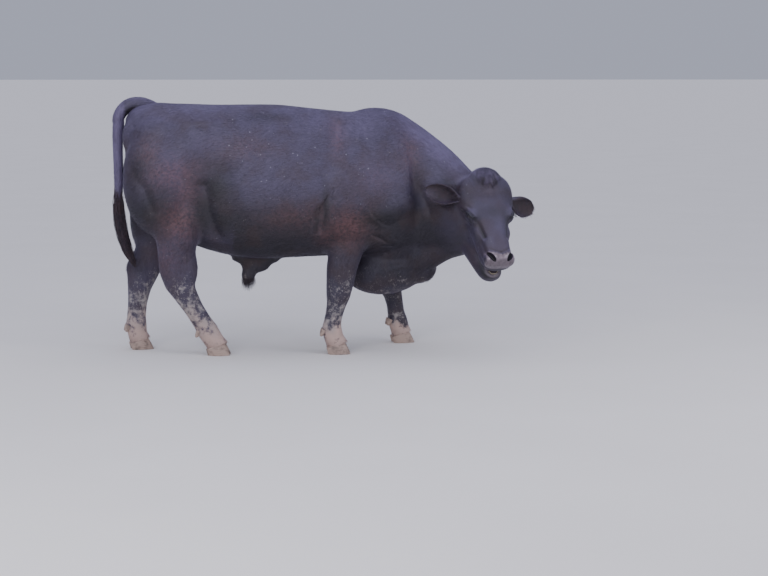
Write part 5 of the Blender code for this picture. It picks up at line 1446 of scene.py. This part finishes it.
def forelock(skin, rng):
    """Wavy locks over the poll that fall on the forehead, in clumps that share a tip."""
    down_axis, out_axis, left_axis = (np.array(axis) for axis in head_axes())
    tree = skin_tree(skin)
    clumps = 90
    spread = np.sqrt((np.arange(clumps) + 0.5) / clumps)
    clump_aside = 0.056 * spread * np.sin(2.4 * np.arange(clumps)) + 0.002
    clump_along = 0.024 - 0.040 * spread * np.cos(2.4 * np.arange(clumps))
    clump_bend = rng.uniform(-0.016, 0.016, clumps)
    clump_length = 0.016 + 0.100 * rng.random(clumps) ** 2.4 * (1.0 - 0.5 * spread)
    clump_dark = rng.random(clumps) ** 2.5
    clump_phase = rng.uniform(0.0, 2.0 * math.pi, clumps)
    chosen = rng.integers(0, clumps, FORELOCK_HAIRS)
    steps = 6
    kept, darks = [], []
    for clump in chosen:
        along = clump_along[clump] + rng.normal(0.0, 0.007)
        aside = clump_aside[clump] + rng.normal(0.0, 0.006)
        length = clump_length[clump] * rng.uniform(0.55, 1.15)
        phase = clump_phase[clump] + rng.normal(0.0, 0.25)
        path = []
        for step in range(steps + 1):
            share = step / steps
            gather = 1.0 - 0.60 * share
            there = clump_along[clump] + (along - clump_along[clump]) * gather + length * share
            over = clump_aside[clump] * (1.0 + 0.30 * share) + (aside - clump_aside[clump]) * gather
            over += clump_bend[clump] * share + 0.0060 * share * math.sin(phase + 7.5 * share)
            start = Vector(on_head(max(there, -0.02), 0.20, over))
            hit, normal, _, _ = tree.ray_cast(start, Vector(-out_axis))
            if hit is None:
                break
            puff = -0.002 + 0.0060 * math.sin(math.pi * min(1.0, 0.10 + 0.85 * share)) - 0.001 * share
            puff += 0.0022 * share * math.sin(2.0 * phase + 9.0 * share)
            path.append(np.array(hit + normal * puff))
        if len(path) == steps + 1:
            kept.append(path)
            darks.append(clump_dark[clump])
    paths = np.array(kept).transpose(1, 0, 2)
    count = paths.shape[1]
    darks = np.array(darks)
    outs = np.tile(out_axis, (count, 1))
    stains = hair_stains(count, 0.20 * rng.random(count), dark=0.7 * darks)
    widths = rng.uniform(0.0010, 0.0019, count)
    shades = hair_shades(count, rng, 0.80 * (1.0 - darks))
    return hair_piece("forelock", paths, outs, widths, stains, shades, head_unwrap)


def sheath_hair(skin, rng):
    """The tuft below the sheath, which leaves the skin, bends over and hangs."""
    def low_sheath(points, outs):
        x, y, z = points.T
        return ((np.hypot(x + 0.258, y) < 0.050) & (z < 0.430) & (z > 0.36)).astype(float)

    roots, outs = spread_roots(skin, SHEATH_HAIRS, low_sheath, rng)
    count = len(roots)
    steps = 5
    length = rng.uniform(0.014, 0.060, count)
    phase = rng.uniform(0.0, 2.0 * math.pi, count)
    here = roots - outs * 0.0015
    way = unit(outs + np.array([-0.10, 0.0, -2.6]))
    paths = []
    for step in range(steps + 1):
        paths.append(here)
        wave = np.stack([np.sin(phase + 1.7 * step), np.cos(phase + 1.9 * step), 0 * phase], axis=1)
        way = unit(way + DOWN * 0.55 * (step + 1) / steps + wave * 0.10)
        here = here + way * (length / steps)[:, None]
    widths = rng.uniform(0.0008, 0.0016, count)
    return hair_piece("sheath_hair", np.stack(paths), outs, widths,
                      hair_stains(count, 0.15, 0.1, 0.2), hair_shades(count, rng), trunk_unwrap)


def ear_fringes(skin, rng):
    """Softer longer hair along both edges and in the cup of each ear."""
    pieces = []
    for side, word in ((RIGHT, "right"), (LEFT, "left")):
        root, reach, back, broad = (np.array(part) for part in ear_frame(side))

        def edges(points, outs):
            off = points - root
            share = off @ reach / EAR_LENGTH
            across = np.abs(off @ broad) / (EAR_WIDTH / 2)
            beside = np.linalg.norm(off - share[:, None] * EAR_LENGTH * reach, axis=1)
            on = (share > 0.16) & (share < 1.02) & (beside < 0.08)
            cup = (outs @ back < -0.15) * 1.2 * (share < 0.70)
            return on * (0.6 * ramp(across, 0.60, 0.90) + 0.5 * ramp(share, 0.85, 0.98) + cup)

        roots, outs = spread_roots(skin, FRINGE_HAIRS, edges, rng)
        count = len(roots)
        steps = 4
        sideways = unit(np.outer(np.sign((roots - root) @ broad), broad))
        length = rng.uniform(0.007, 0.013, count) + 0.010 * (outs @ back < -0.15)
        way = unit(1.2 * reach + 0.22 * sideways - 0.16 * back + rng.normal(0.0, 0.12, (count, 3)))
        here = roots - outs * 0.0015
        paths = []
        for step in range(steps + 1):
            paths.append(here)
            way = unit(way + DOWN * 0.14)
            here = here + way * (length / steps)[:, None]
        stains = hair_stains(count, 0.5 * rng.random(count))
        shades = hair_shades(count, rng)
        shades[:, 2] = rng.random(count) ** 3
        widths = rng.uniform(0.0008, 0.0014, count)
        pieces.append(hair_piece(f"ear_fringe_{word}", np.stack(paths), outs, widths,
                                 stains, shades, ear_unwrap))
    return pieces


def eyelashes(rng):
    """Two rows of short stiff lashes over each eye."""
    paths, outs = [], []
    _, out_axis, _ = head_axes()
    slope = math.tan(math.radians(EYE_SLANT))
    for side in (RIGHT, LEFT):
        for number in range(LASHES):
            share = (number + 0.5) / LASHES
            along = 0.240 + 0.046 * share
            out = EYE[1] + SLIT_RISE + (along - EYE[0]) * slope
            out += 0.006 + 0.003 * math.sin(math.pi * share)
            root = on_head(along, out, EYE[2] + 0.0195 - 0.16 * abs(along - EYE[0]), side)
            reach = 0.004 * rng.uniform(-1, 1) + 0.006 * (share - 0.5)
            tip = on_head(along + reach, out - 0.001, EYE[2] + 0.036, side)
            middle = (root + tip) / 2 + out_axis * 0.002
            end = tip - out_axis * 0.004 * rng.uniform(0.6, 1.2)
            paths.append([np.array(root), np.array(middle), np.array(end)])
            outs.append(np.array(out_axis))
    paths = np.array(paths).transpose(1, 0, 2)
    count = len(outs)
    return hair_piece("eyelashes", paths, np.array(outs), np.full(count, 0.0011),
                      hair_stains(count, dark=0.6), hair_shades(count, rng), head_unwrap)


def coronet(foot):
    """Middle of the hoof's top plane and its unit slope forwards, for a named foot."""
    x, y, heading = FEET[foot]
    ahead = level_way(math.radians(heading))
    rise = (TOE_HEIGHT - HEEL_HEIGHT) / (0.70 * CLAW_LENGTH)
    middle = Vector((x, y, (TOE_HEIGHT + HEEL_HEIGHT) / 2)) - ahead * 0.010
    return middle, ahead, (ahead + UP * rise).normalized()


CLAW_WEAR = (0.0035, 0.0016, 0.0005)  # how much of the wall is worn off at its lowest levels


def claw(foot, place, word):
    """One claw of horn, its wall in shallow growth rings, its edge at the ground worn round."""
    x, y, _ = FEET[foot]
    middle, ahead, slope = coronet(foot)
    aside = UP.cross(ahead) * place
    sides = 40
    heights = [0.0, 0.012, 0.035, 0.07] + [0.12 + 0.88 * step / 22 for step in range(23)]
    bm = bmesh.new()
    rings = []
    for number, level in enumerate(heights):
        back_slide = 0.024 * level
        worn = CLAW_WEAR[number] if number < len(CLAW_WEAR) else 0.0
        groove = 0.0006 * math.sin(level * 34.0 + 1.3 * place) * (level > 0.15)
        length = CLAW_LENGTH * (1.0 - 0.22 * level) - 2.0 * (worn - groove)
        width = CLAW_WIDTH * (1.0 - 0.04 * level + 0.05 * math.sin(math.pi * level)) - worn + groove
        ring = []
        for step in range(sides):
            angle = 2.0 * math.pi * step / sides
            fore, out = math.cos(angle), math.sin(angle)
            taper = 1.0 - 0.34 * max(0.0, fore) ** 2
            across = width * (0.5 + 0.5 * out * (taper if out > 0 else 1.0))
            spot = Vector((x, y, 0.0)) + ahead * (fore * length / 2 - back_slide)
            spot += aside * (CLAW_GAP / 2 + across + worn / 2)
            along = (spot - middle).dot(ahead)
            top = middle.z + along * slope.z / slope.dot(ahead)
            ring.append(bm.verts.new(Vector((spot.x, spot.y, top * level))))
        rings.append([bm.edges.new((a, b)) for a, b in zip(ring, ring[1:] + ring[:1])])
    loft(bm, rings)
    made = from_bmesh(f"hoof_{foot}_{word}", bm, smooth=True)
    made.data.set_sharp_from_angle(angle=math.radians(50.0))
    return made


# A dewclaw's radius by the share of its length.
DEWCLAW_RADII = (
    (0.0, 0.0168), (0.35, 0.0150), (0.62, 0.0124), (0.82, 0.0098), (0.94, 0.0070), (1.0, 0.0036)
)


def dewclaw(foot, place, word, joints):
    """One small blunt cone of horn behind the fetlock, its root in the leg."""
    _, ahead, _ = coronet(foot)
    aside = UP.cross(ahead) * place
    fetlock = Vector((joints[3][0], FEET[foot][1], DEWCLAW_HEIGHT))
    spot = fetlock - ahead * 0.052 + aside * 0.024
    point = (-ahead * 0.45 - UP * 0.9).normalized()
    fore = point.cross(aside).normalized()
    bm = bmesh.new()
    rings = []
    for share, radius in DEWCLAW_RADII:
        centre = spot + point * (0.004 - 0.021 + 0.042 * share)
        rings.append(add_ring(bm, centre, aside * radius, fore * radius, sides=24))
    loft(bm, rings)
    return from_bmesh(f"dewclaw_horn_{foot}_{word}", bm, smooth=True)


def eyeball(side, word):
    """A ball with a slightly domed cornea, which stores where on it the pupil and the slit lie."""
    bm = bmesh.new()
    down_axis, out_axis, left_axis = head_axes()
    gaze = (left_axis * side * 0.93 + down_axis * 0.34 + out_axis * 0.04).normalized()
    centre = on_head(*EYE, side)
    matrix = Matrix.Translation(centre) @ gaze.to_track_quat("Z", "Y").to_matrix().to_4x4()
    bmesh.ops.create_uvsphere(bm, u_segments=48, v_segments=32, radius=EYE_RADIUS, matrix=matrix)
    for vert in bm.verts:
        near = max(0.0, (vert.co - centre).normalized().dot(gaze))
        vert.co += gaze * 0.0006 * near**12
    made = from_bmesh(f"eyeball_{word}", bm, smooth=True)
    slant = math.radians(EYE_SLANT)
    slit = down_axis * math.cos(slant) + out_axis * math.sin(slant)
    slit = (slit - gaze * slit.dot(gaze)).normalized()
    off = (mesh_points(made.data) - np.array(centre)) / EYE_RADIUS
    set_paint(made.data, gaze=off @ np.array([slit, gaze.cross(slit), gaze]).T)
    return made


TEETH = 8
TOOTH_ARCH = (0.546, -0.166, 0.026)  # its middle, down and out of the face, and its radius


def front_teeth():
    """Eight spade-shaped lower front teeth in an arch."""
    down_axis, out_axis, left_axis = head_axes()
    bm = bmesh.new()
    for number in range(TEETH):
        turn = math.radians(160.0 * ((number + 0.5) / TEETH - 0.5))
        outward = down_axis * math.cos(turn) + left_axis * math.sin(turn)
        across = out_axis.cross(outward)
        size = 1.0 - 0.22 * abs(turn) / math.radians(80.0)
        centre = on_head(*TOOTH_ARCH[:2], 0.0) + outward * (TOOTH_ARCH[2] - 0.0006)
        axes = Matrix([across, outward, out_axis]).transposed().to_4x4()
        sized = axes @ Matrix.Diagonal((0.0082 * size, 0.0052, 0.024 * size, 1.0))
        made = bmesh.ops.create_cube(bm, size=1.0, matrix=Matrix.Translation(centre) @ sized)
        for vert in made["verts"]:
            rise = (vert.co - centre).dot(out_axis)
            off = (vert.co - centre).dot(across)
            vert.co += across * off * (0.10 if rise > 0 else -0.35)
            if rise > 0:
                vert.co -= outward * (vert.co - centre).dot(outward) * 0.45
        edges = list({edge for vert in made["verts"] for edge in vert.link_edges})
        bmesh.ops.bevel(
            bm, geom=edges, offset=0.0014, segments=3, profile=0.5, affect="EDGES", material=-1
        )
    return from_bmesh("front_teeth", bm, smooth=True)


def tone(code, alpha=1.0):
    """An sRGB hex colour as linear values."""
    parts = [int(code[k : k + 2], 16) / 255.0 for k in (1, 3, 5)]
    linear = [part / 12.92 if part <= 0.04045 else ((part + 0.055) / 1.055) ** 2.4 for part in parts]
    return (*linear, alpha)


def new_finish(name):
    """An empty material with its shader, and the tree to build in."""
    material = bpy.data.materials.new(name)
    material.use_nodes = True
    return material, material.node_tree, material.node_tree.nodes["Principled BSDF"]


def feed(tree, node, inputs):
    """Gives a node's inputs, by name or number, a value, an output, or a node's first used output."""
    for socket, value in inputs.items():
        if isinstance(value, bpy.types.Node):
            value = next(output for output in value.outputs if output.enabled)
        if isinstance(value, bpy.types.NodeSocket):
            tree.links.new(value, node.inputs[socket])
        else:
            node.inputs[socket].default_value = value


def add_node(tree, kind, inputs=None, **settings):
    """Adds one node with its settings and what feeds it."""
    made = tree.nodes.new("ShaderNode" + kind)
    for name, value in settings.items():
        setattr(made, name, value)
    feed(tree, made, inputs or {})
    return made


KERATIN = 1.55             # refractive index of hair and horn


def hide_colour(tree):
    """Colour of the hide, laid over a near-black base in layers, each by its own share; some layers are
    painted shade, painted sheen and a painted highlight.

    Returns the colour, the shares of mud and of nose leather, and the places on the bull.
    """
    spots = add_node(tree, "TexCoord").outputs["Object"]
    stain = add_node(tree, "Attribute", attribute_name="stain")
    rust, mud, leather = add_node(tree, "SeparateColor", {0: stain.outputs["Color"]}).outputs
    dark = stain.outputs["Alpha"]
    shade = add_node(tree, "Attribute", attribute_name="shade")
    hair, _, sheen_and_dust_share = add_node(tree, "SeparateColor", {0: shade.outputs["Color"]}).outputs
    # Broad patches about 140 mm across, and clumps of hair about 16 mm across
    broad = add_node(tree, "TexNoise", {"Vector": spots, "Scale": 7.0, "Detail": 4.0})
    clumps = add_node(tree, "TexNoise", {"Vector": spots, "Scale": 60.0, "Detail": 3.0})
    colour = add_node(tree, "Mix", {0: clumps, 6: tone("#0f0d13"), 7: tone("#221d28")}, data_type="RGBA")
    lighter = add_node(tree, "Math", {0: hair, 1: 0.50}, operation="MULTIPLY")
    browned = add_node(tree, "MapRange", {0: broad, 1: 0.45, 2: 0.62, 3: 0.0, 4: 0.60})
    torn = add_node(tree, "MapRange", {0: clumps, 1: 0.34, 2: 0.60, 3: 0.30, 4: 1.0})
    rusty = add_node(tree, "Math", {0: rust, 1: torn}, operation="MULTIPLY")
    # Darkness of the hair, mostly painted shade in hollows, clefts, openings and under the body
    darkening_and_painted_shade = add_node(tree, "Math", {0: dark, 1: 0.75}, operation="MULTIPLY")
    # The dust and painted sheen differ from tuft to tuft and thin out over the broad brown patches
    uneven = add_node(tree, "MapRange", {0: hair, 1: 0.0, 2: 1.0, 3: 0.44, 4: 0.92})
    thinned = add_node(tree, "MapRange", {0: broad, 1: 0.40, 2: 0.65, 3: 1.0, 4: 0.62})
    strength = add_node(tree, "Math", {0: uneven, 1: thinned}, operation="MULTIPLY")
    painted_sheen_and_dust_layer = add_node(tree, "Math", {0: sheen_and_dust_share, 1: strength}, operation="MULTIPLY")
    # Pale flecks up to 7 mm across, gathered here and there on the upper side
    flecks = add_node(tree, "TexVoronoi", {"Vector": spots, "Scale": 40.0})
    odds, size, _ = add_node(tree, "SeparateColor", {0: flecks.outputs["Color"]}).outputs
    breadth = add_node(tree, "MapRange", {0: size, 1: 0.0, 2: 1.0, 3: 0.05, 4: 0.14})
    small = add_node(tree, "Math", {0: flecks.outputs["Distance"], 1: breadth}, operation="LESS_THAN")
    gathered = add_node(tree, "TexNoise", {"Vector": spots, "Scale": 3.2, "Detail": 1.0})
    likely = add_node(tree, "MapRange", {0: gathered, 1: 0.45, 2: 0.72, 3: 0.0, 4: 0.50})
    chance = add_node(tree, "Math", {0: odds, 1: likely}, operation="ADD")
    few = add_node(tree, "Math", {0: chance, 1: 0.96}, operation="GREATER_THAN")
    both = add_node(tree, "Math", {0: small, 1: few}, operation="MULTIPLY")
    flecked = add_node(tree, "Math", {0: both, 1: sheen_and_dust_share}, operation="MULTIPLY")
    # Dried mud in splashes of 10 to 40 mm, and above them in specks about 5 mm across
    splashes = add_node(tree, "TexNoise", {
        "Vector": spots, "Scale": 24.0, "Detail": 8.0, "Roughness": 0.68})
    edge = add_node(tree, "MapRange", {0: splashes, 1: 0.28, 2: 0.72, 3: 0.0, 4: 1.0})
    level = add_node(tree, "Math", {0: mud, 1: edge}, operation="ADD")
    caked = add_node(tree, "MapRange", {0: level, 1: 1.10, 2: 1.42, 3: 0.0, 4: 0.90})
    drops = add_node(tree, "TexNoise", {"Vector": spots, "Scale": 170.0, "Detail": 2.0})
    specks = add_node(tree, "MapRange", {0: drops, 1: 0.58, 2: 0.70, 3: 0.0, 4: 0.8})
    reached = add_node(tree, "MapRange", {0: level, 1: 0.70, 2: 1.05, 3: 0.0, 4: 1.0})
    specked = add_node(tree, "Math", {0: specks, 1: reached}, operation="MULTIPLY")
    muddy = add_node(tree, "Math", {0: caked, 1: specked}, operation="MAXIMUM")
    pinker = add_node(tree, "MapRange", {0: mud, 1: 0.70, 2: 0.98, 3: 0.0, 4: 1.0})
    dried = add_node(tree, "Mix", {0: pinker, 6: tone("#a09994"), 7: tone("#c6ab9d")}, data_type="RGBA")
    # Painted highlight: the leather is lighter along its upper edge than below
    upper = add_node(tree, "MapRange", {0: dark, 1: 0.0, 2: 1.0, 3: 1.0, 4: 0.35})
    painted_highlight_share = add_node(tree, "Math", {0: upper, 1: clumps}, operation="MULTIPLY")
    nose = add_node(tree, "Mix", {0: painted_highlight_share, 6: tone("#3a3136"), 7: tone("#a5949c")}, data_type="RGBA")
    for share, over in (
        (lighter, tone("#332c36")),
        (browned, tone("#33211f")),
        (rusty, tone("#603f40")),
        # Painted shade, with the hair's own darkness
        (darkening_and_painted_shade, tone("#0b090c")),
        # Dust with painted sheen
        (painted_sheen_and_dust_layer, tone("#6b617f")),
        (flecked, tone("#a5a3ae")),
        (muddy, dried),
        (leather, nose),
    ):
        colour = add_node(tree, "Mix", {0: share, 6: colour, 7: over}, data_type="RGBA")
    return colour, muddy, leather, spots


def keratin_sheen(weight):
    """The bluish light that dust and fine hair ends throw back at a grazing angle."""
    return {
        "IOR": KERATIN, "Sheen Weight": weight, "Sheen Roughness": 0.45, "Sheen Tint": tone("#a8a0c4")}


def hide_finish():
    """Cattle skin under a sleek coat, whose lie shows as fine streaks that catch the light."""
    material, tree, shader = new_finish("cattle_hide_with_flat_hair")
    colour, mud, leather, spots = hide_colour(tree)
    # Hair bundles 2.5 mm across and 30 mm long: back along the body, down on the legs
    body = add_node(tree, "Mapping", {
        "Vector": spots, "Rotation": (0.0, math.radians(-16.0), 0.0), "Scale": (30.0, 420.0, 420.0)})
    legs = add_node(tree, "Mapping", {"Vector": spots, "Scale": (420.0, 420.0, 40.0)})
    height = add_node(tree, "SeparateXYZ", {0: spots}).outputs["Z"]
    low = add_node(tree, "MapRange", {0: height, 1: 0.62, 2: 0.50, 3: 0.0, 4: 1.0})
    way = add_node(tree, "Mix", {0: low, 4: body, 5: legs}, data_type="VECTOR")
    streaks = add_node(tree, "TexNoise", {"Vector": way, "Scale": 1.0, "Detail": 2.0})
    # The pebbled leather of the nose, 3 mm beads
    pebbles = add_node(tree, "TexVoronoi", {"Vector": spots, "Scale": 330.0})
    beads = add_node(tree, "Math", {0: pebbles.outputs["Distance"], 1: 0.45}, operation="MULTIPLY")
    relief = add_node(tree, "Mix", {0: leather, 2: streaks, 3: beads}, data_type="FLOAT")
    bump = add_node(tree, "Bump", {"Height": relief, "Distance": 0.0008, "Strength": 0.5})
    gloss = add_node(tree, "MapRange", {0: streaks, 1: 0.3, 2: 0.7, 3: 0.54, 4: 0.66})
    dry = add_node(tree, "Mix", {0: mud, 2: gloss, 3: 0.92}, data_type="FLOAT")
    wet = add_node(tree, "Mix", {0: leather, 2: dry, 3: 0.22}, data_type="FLOAT")
    feed(tree, shader, {
        "Base Color": colour, "Normal": bump, "Roughness": wet, **keratin_sheen(0.28)})
    return material


def hair_finish(name, rough, sheen):
    """Keratin hair: dark, with a dull gloss along each tuft and the hide's own markings."""
    material, tree, shader = new_finish(name)
    colour, mud, _, _ = hide_colour(tree)
    dry = add_node(tree, "Mix", {0: mud, 2: rough, 3: 0.95}, data_type="FLOAT")
    feed(tree, shader, {"Base Color": colour, "Roughness": dry, **keratin_sheen(sheen)})
    return material


def horn_finish():
    """Hoof horn: fine upright fibres and growth rings, dulled by wear and dried mud."""
    material, tree, shader = new_finish("worn_hoof_horn")
    spots = add_node(tree, "TexCoord").outputs["Object"]
    # Fibres 2.4 mm wide and 33 mm long: real ones are too fine to show
    upright = add_node(tree, "Mapping", {"Vector": spots, "Scale": (420.0, 420.0, 30.0)})
    fibres = add_node(tree, "TexNoise", {"Vector": upright, "Scale": 1.0, "Detail": 2.0})
    # Growth rings 6 mm apart, waved by the horn's own growth
    rings = add_node(tree, "TexWave", {
        "Vector": spots, "Scale": 26.0, "Distortion": 2.5, "Detail": 2.0, "Detail Scale": 1.5,
    }, bands_direction="Z")
    # Dried mud in patches about 33 mm across
    patches = add_node(tree, "TexNoise", {"Vector": spots, "Scale": 30.0, "Detail": 5.0})
    horn = add_node(tree, "Mix", {0: fibres, 6: tone("#3a322c"), 7: tone("#6a5c50")}, data_type="RGBA")
    mud = add_node(tree, "MapRange", {0: patches, 1: 0.32, 2: 0.52, 3: 0.25, 4: 0.92})
    colour = add_node(tree, "Mix", {0: mud, 6: horn, 7: tone("#ad9789")}, data_type="RGBA")
    relief = add_node(tree, "Math", {0: rings.outputs["Fac"], 1: fibres}, operation="ADD")
    bump = add_node(tree, "Bump", {"Height": relief, "Distance": 0.0008, "Strength": 0.7})
    dull = add_node(tree, "MapRange", {0: mud, 1: 0.0, 2: 0.9, 3: 0.48, 4: 0.90})
    feed(tree, shader, {"Base Color": colour, "Normal": bump, "Roughness": dull, "IOR": KERATIN})
    return material


def eye_finish():
    """A wet eye: a near-black pupil lying along the slit, a dark brown iris, a brownish white."""
    material, tree, shader = new_finish("wet_dark_brown_eye")
    gaze = add_node(tree, "Attribute", attribute_name="gaze").outputs["Vector"]
    along, over, _ = add_node(tree, "SeparateXYZ", {0: gaze}).outputs
    narrowed = add_node(tree, "Math", {0: along, 1: 0.55}, operation="MULTIPLY")
    slit = add_node(tree, "CombineXYZ", {0: narrowed, 1: over})
    pupil = add_node(tree, "VectorMath", {0: slit}, operation="LENGTH")
    ring = add_node(tree, "CombineXYZ", {0: along, 1: over})
    reach = add_node(tree, "VectorMath", {0: ring}, operation="LENGTH")
    # Threads of the iris, 1.5 mm apart
    threads = add_node(tree, "TexNoise", {"Vector": gaze, "Scale": 14.0, "Detail": 3.0})
    iris = add_node(tree, "Mix", {0: threads, 6: tone("#1a0f0a"), 7: tone("#3d2414")}, data_type="RGBA")
    beyond = add_node(tree, "MapRange", {0: pupil, 1: 0.20, 2: 0.26, 3: 0.0, 4: 1.0})
    middle = add_node(tree, "Mix", {0: beyond, 6: tone("#050407"), 7: iris}, data_type="RGBA")
    white = add_node(tree, "MapRange", {0: reach, 1: 0.74, 2: 0.84, 3: 0.0, 4: 1.0})
    colour = add_node(tree, "Mix", {0: white, 6: middle, 7: tone("#6e5a50")}, data_type="RGBA")
    feed(tree, shader, {
        "Base Color": colour, "Roughness": 0.12, "IOR": 1.38, "Coat Weight": 1.0, "Coat Roughness": 0.03})
    return material


def tooth_finish():
    """Enamel, yellowed and stained brown towards the gum, with a smooth wet gloss."""
    material, tree, shader = new_finish("stained_tooth_enamel")
    spots = add_node(tree, "TexCoord").outputs["Object"]
    # Stains about 6 mm across
    stains = add_node(tree, "TexNoise", {"Vector": spots, "Scale": 160.0, "Detail": 4.0})
    colour = add_node(tree, "Mix", {0: stains, 6: tone("#8a7c60"), 7: tone("#bdb297")}, data_type="RGBA")
    gloss = add_node(tree, "MapRange", {0: stains, 1: 0.3, 2: 0.7, 3: 0.42, 4: 0.22})
    feed(tree, shader, {"Base Color": colour, "Roughness": gloss, "IOR": 1.62})
    return material


def floor_finish():
    """Matt painted studio floor, pale, with a barely seen mottle 0.8 m across."""
    material, tree, shader = new_finish("pale_studio_floor_paint")
    spots = add_node(tree, "TexCoord").outputs["Object"]
    mottle = add_node(tree, "TexNoise", {"Vector": spots, "Scale": 1.2, "Detail": 3.0})
    colour = add_node(tree, "Mix", {0: mottle, 6: tone("#e2ded7"), 7: tone("#eae6df")}, data_type="RGBA")
    feed(tree, shader, {"Base Color": colour, "Roughness": 0.85})
    return material


# Camera: where it stands in the maker's frame, its turn from +Y, its dip and its lens.
CAMERA_PLACE = Vector((-0.92, -10.34, 1.585))
CAMERA_TURN = 8.0
CAMERA_DIP = 6.75
LENS = 84.375


def photo_camera(shift):
    """The camera that took the photo, moved with the bull."""
    camera = add_object("camera", bpy.data.cameras.new("camera"))
    camera.data.sensor_width = 36.0
    camera.data.lens = LENS
    camera.data.clip_end = 1500.0
    turn, dip = math.radians(CAMERA_TURN), math.radians(CAMERA_DIP)
    ahead = Vector((math.sin(turn) * math.cos(dip), math.cos(turn) * math.cos(dip), -math.sin(dip)))
    camera.location = CAMERA_PLACE + shift
    camera.rotation_euler = ahead.to_track_quat("-Z", "Y").to_euler()
    bpy.context.scene.camera = camera


def softbox(name, place, aim, size, power, colour):
    """A soft rectangular lamp at place that shines at aim."""
    lamp = add_object(name, bpy.data.lights.new(name, "AREA"))
    lamp.data.shape = "RECTANGLE"
    lamp.data.size, lamp.data.size_y = size
    lamp.data.energy = power
    lamp.data.color = tone(colour)[:3]
    lamp.location = place
    lamp.rotation_euler = (Vector(aim) - Vector(place)).to_track_quat("-Z", "Y").to_euler()


def studio():
    """A plain floor under soft, slightly blue daylight."""
    bm = bmesh.new()
    bmesh.ops.create_grid(bm, x_segments=8, y_segments=8, size=600.0)
    floor = from_bmesh("studio_floor", bm)
    floor.data.materials.append(floor_finish())
    world = bpy.data.worlds.new("studio_air")
    world.use_nodes = True
    feed(world.node_tree, world.node_tree.nodes["Background"], {0: tone("#d3d8ee"), 1: 0.62})
    bpy.context.scene.world = world
    ceiling = add_object("soft_ceiling", bpy.data.lights.new("soft_ceiling", "SUN"))
    ceiling.data.energy = 1.60
    ceiling.data.angle = math.radians(100.0)
    ceiling.data.color = tone("#e2e5ff")[:3]
    ceiling.rotation_euler = (math.radians(14.0), math.radians(-8.0), 0.0)
    softbox("side_softbox", (-3.2, -6.5, 3.8), (0.1, 0.0, 0.8), (4.0, 3.0), 230.0, "#f0f0fc")
    softbox("front_softbox", (4.6, -3.8, 2.6), (0.3, 0.0, 0.8), (2.5, 2.5), 90.0, "#f0f0fc")


def settle(obj, material, shift, slot, *nodes):
    """Gives a piece its material and place, and what it stands for."""
    obj.data.materials.clear()
    obj.data.materials.append(material)
    obj.data.transform(Matrix.Translation(shift))
    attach(obj, "root")
    if nodes:
        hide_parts(*nodes)


def bull():
    """Makes every piece of the bull. Returns the step from the maker's frame to the model's."""
    low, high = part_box("eye_right")
    shift = (low + high) / 2 - on_head(*EYE, RIGHT)
    rng = np.random.default_rng(SEED)
    skin, inner = whole_skin()
    points = mesh_points(skin.data)
    ups = vertex_ways(skin.data)[:, 2]
    stains = markings(points, ups)
    # Inside the nostrils, the mouth and the eye sockets the leather is taken away and painted shade laid
    # on by depth
    stains[:, 2] *= 1.0 - inner
    stains[:, 3] = np.maximum(stains[:, 3], inner)
    shades = np.full((len(points), 3), 0.5)
    shades[:, 2] = painted_sheen_and_dust(points, ups, stains)
    set_paint(skin.data, stain=stains, shade=shades)
    skin.data.shade_smooth()
    sleek = hair_finish("sleek_black_cattle_hair", 0.58, 0.22)
    long_hair = hair_finish("long_dull_cattle_hair", 0.62, 0.10)
    for piece in short_coat(skin, rng):
        settle(piece, sleek, shift, "coat")
    for piece in [forelock(skin, rng), sheath_hair(skin, rng), eyelashes(rng)] + ear_fringes(skin, rng):
        settle(piece, long_hair, shift, "hair")
    settle(tail_switch(rng), long_hair, shift, "hair", "tail_switch")
    horn = horn_finish()
    eye = eye_finish()
    for side, word in ((RIGHT, "right"), (LEFT, "left")):
        settle(eyeball(side, word), eye, shift, "eye", f"eye_{word}")
        for end, joints in (("fore", FORE_JOINTS), ("hind", HIND_JOINTS)):
            foot = f"{end}_{word}"
            for place, claw_word in ((side, "outer"), (-side, "inner")):
                settle(claw(foot, place, claw_word), horn, shift, "horn", f"claw_{foot}_{claw_word}")
                settle(dewclaw(foot, place, claw_word, joints[side]), horn, shift, "horn",
                       f"dewclaw_{foot}_{claw_word}")
    settle(front_teeth(), tooth_finish(), shift, "tooth", "incisors")
    flesh = ["torso", "neck", "head", "lower_jaw", "sheath", "scrotum", "tail"]
    flesh += [f"{part}_{word}" for part in ("foreleg", "hindleg", "ear") for word in ("right", "left")]
    settle(skin, hide_finish(), shift, "coat", *flesh)
    return shift


SHIFT = bull()
studio()
photo_camera(SHIFT)
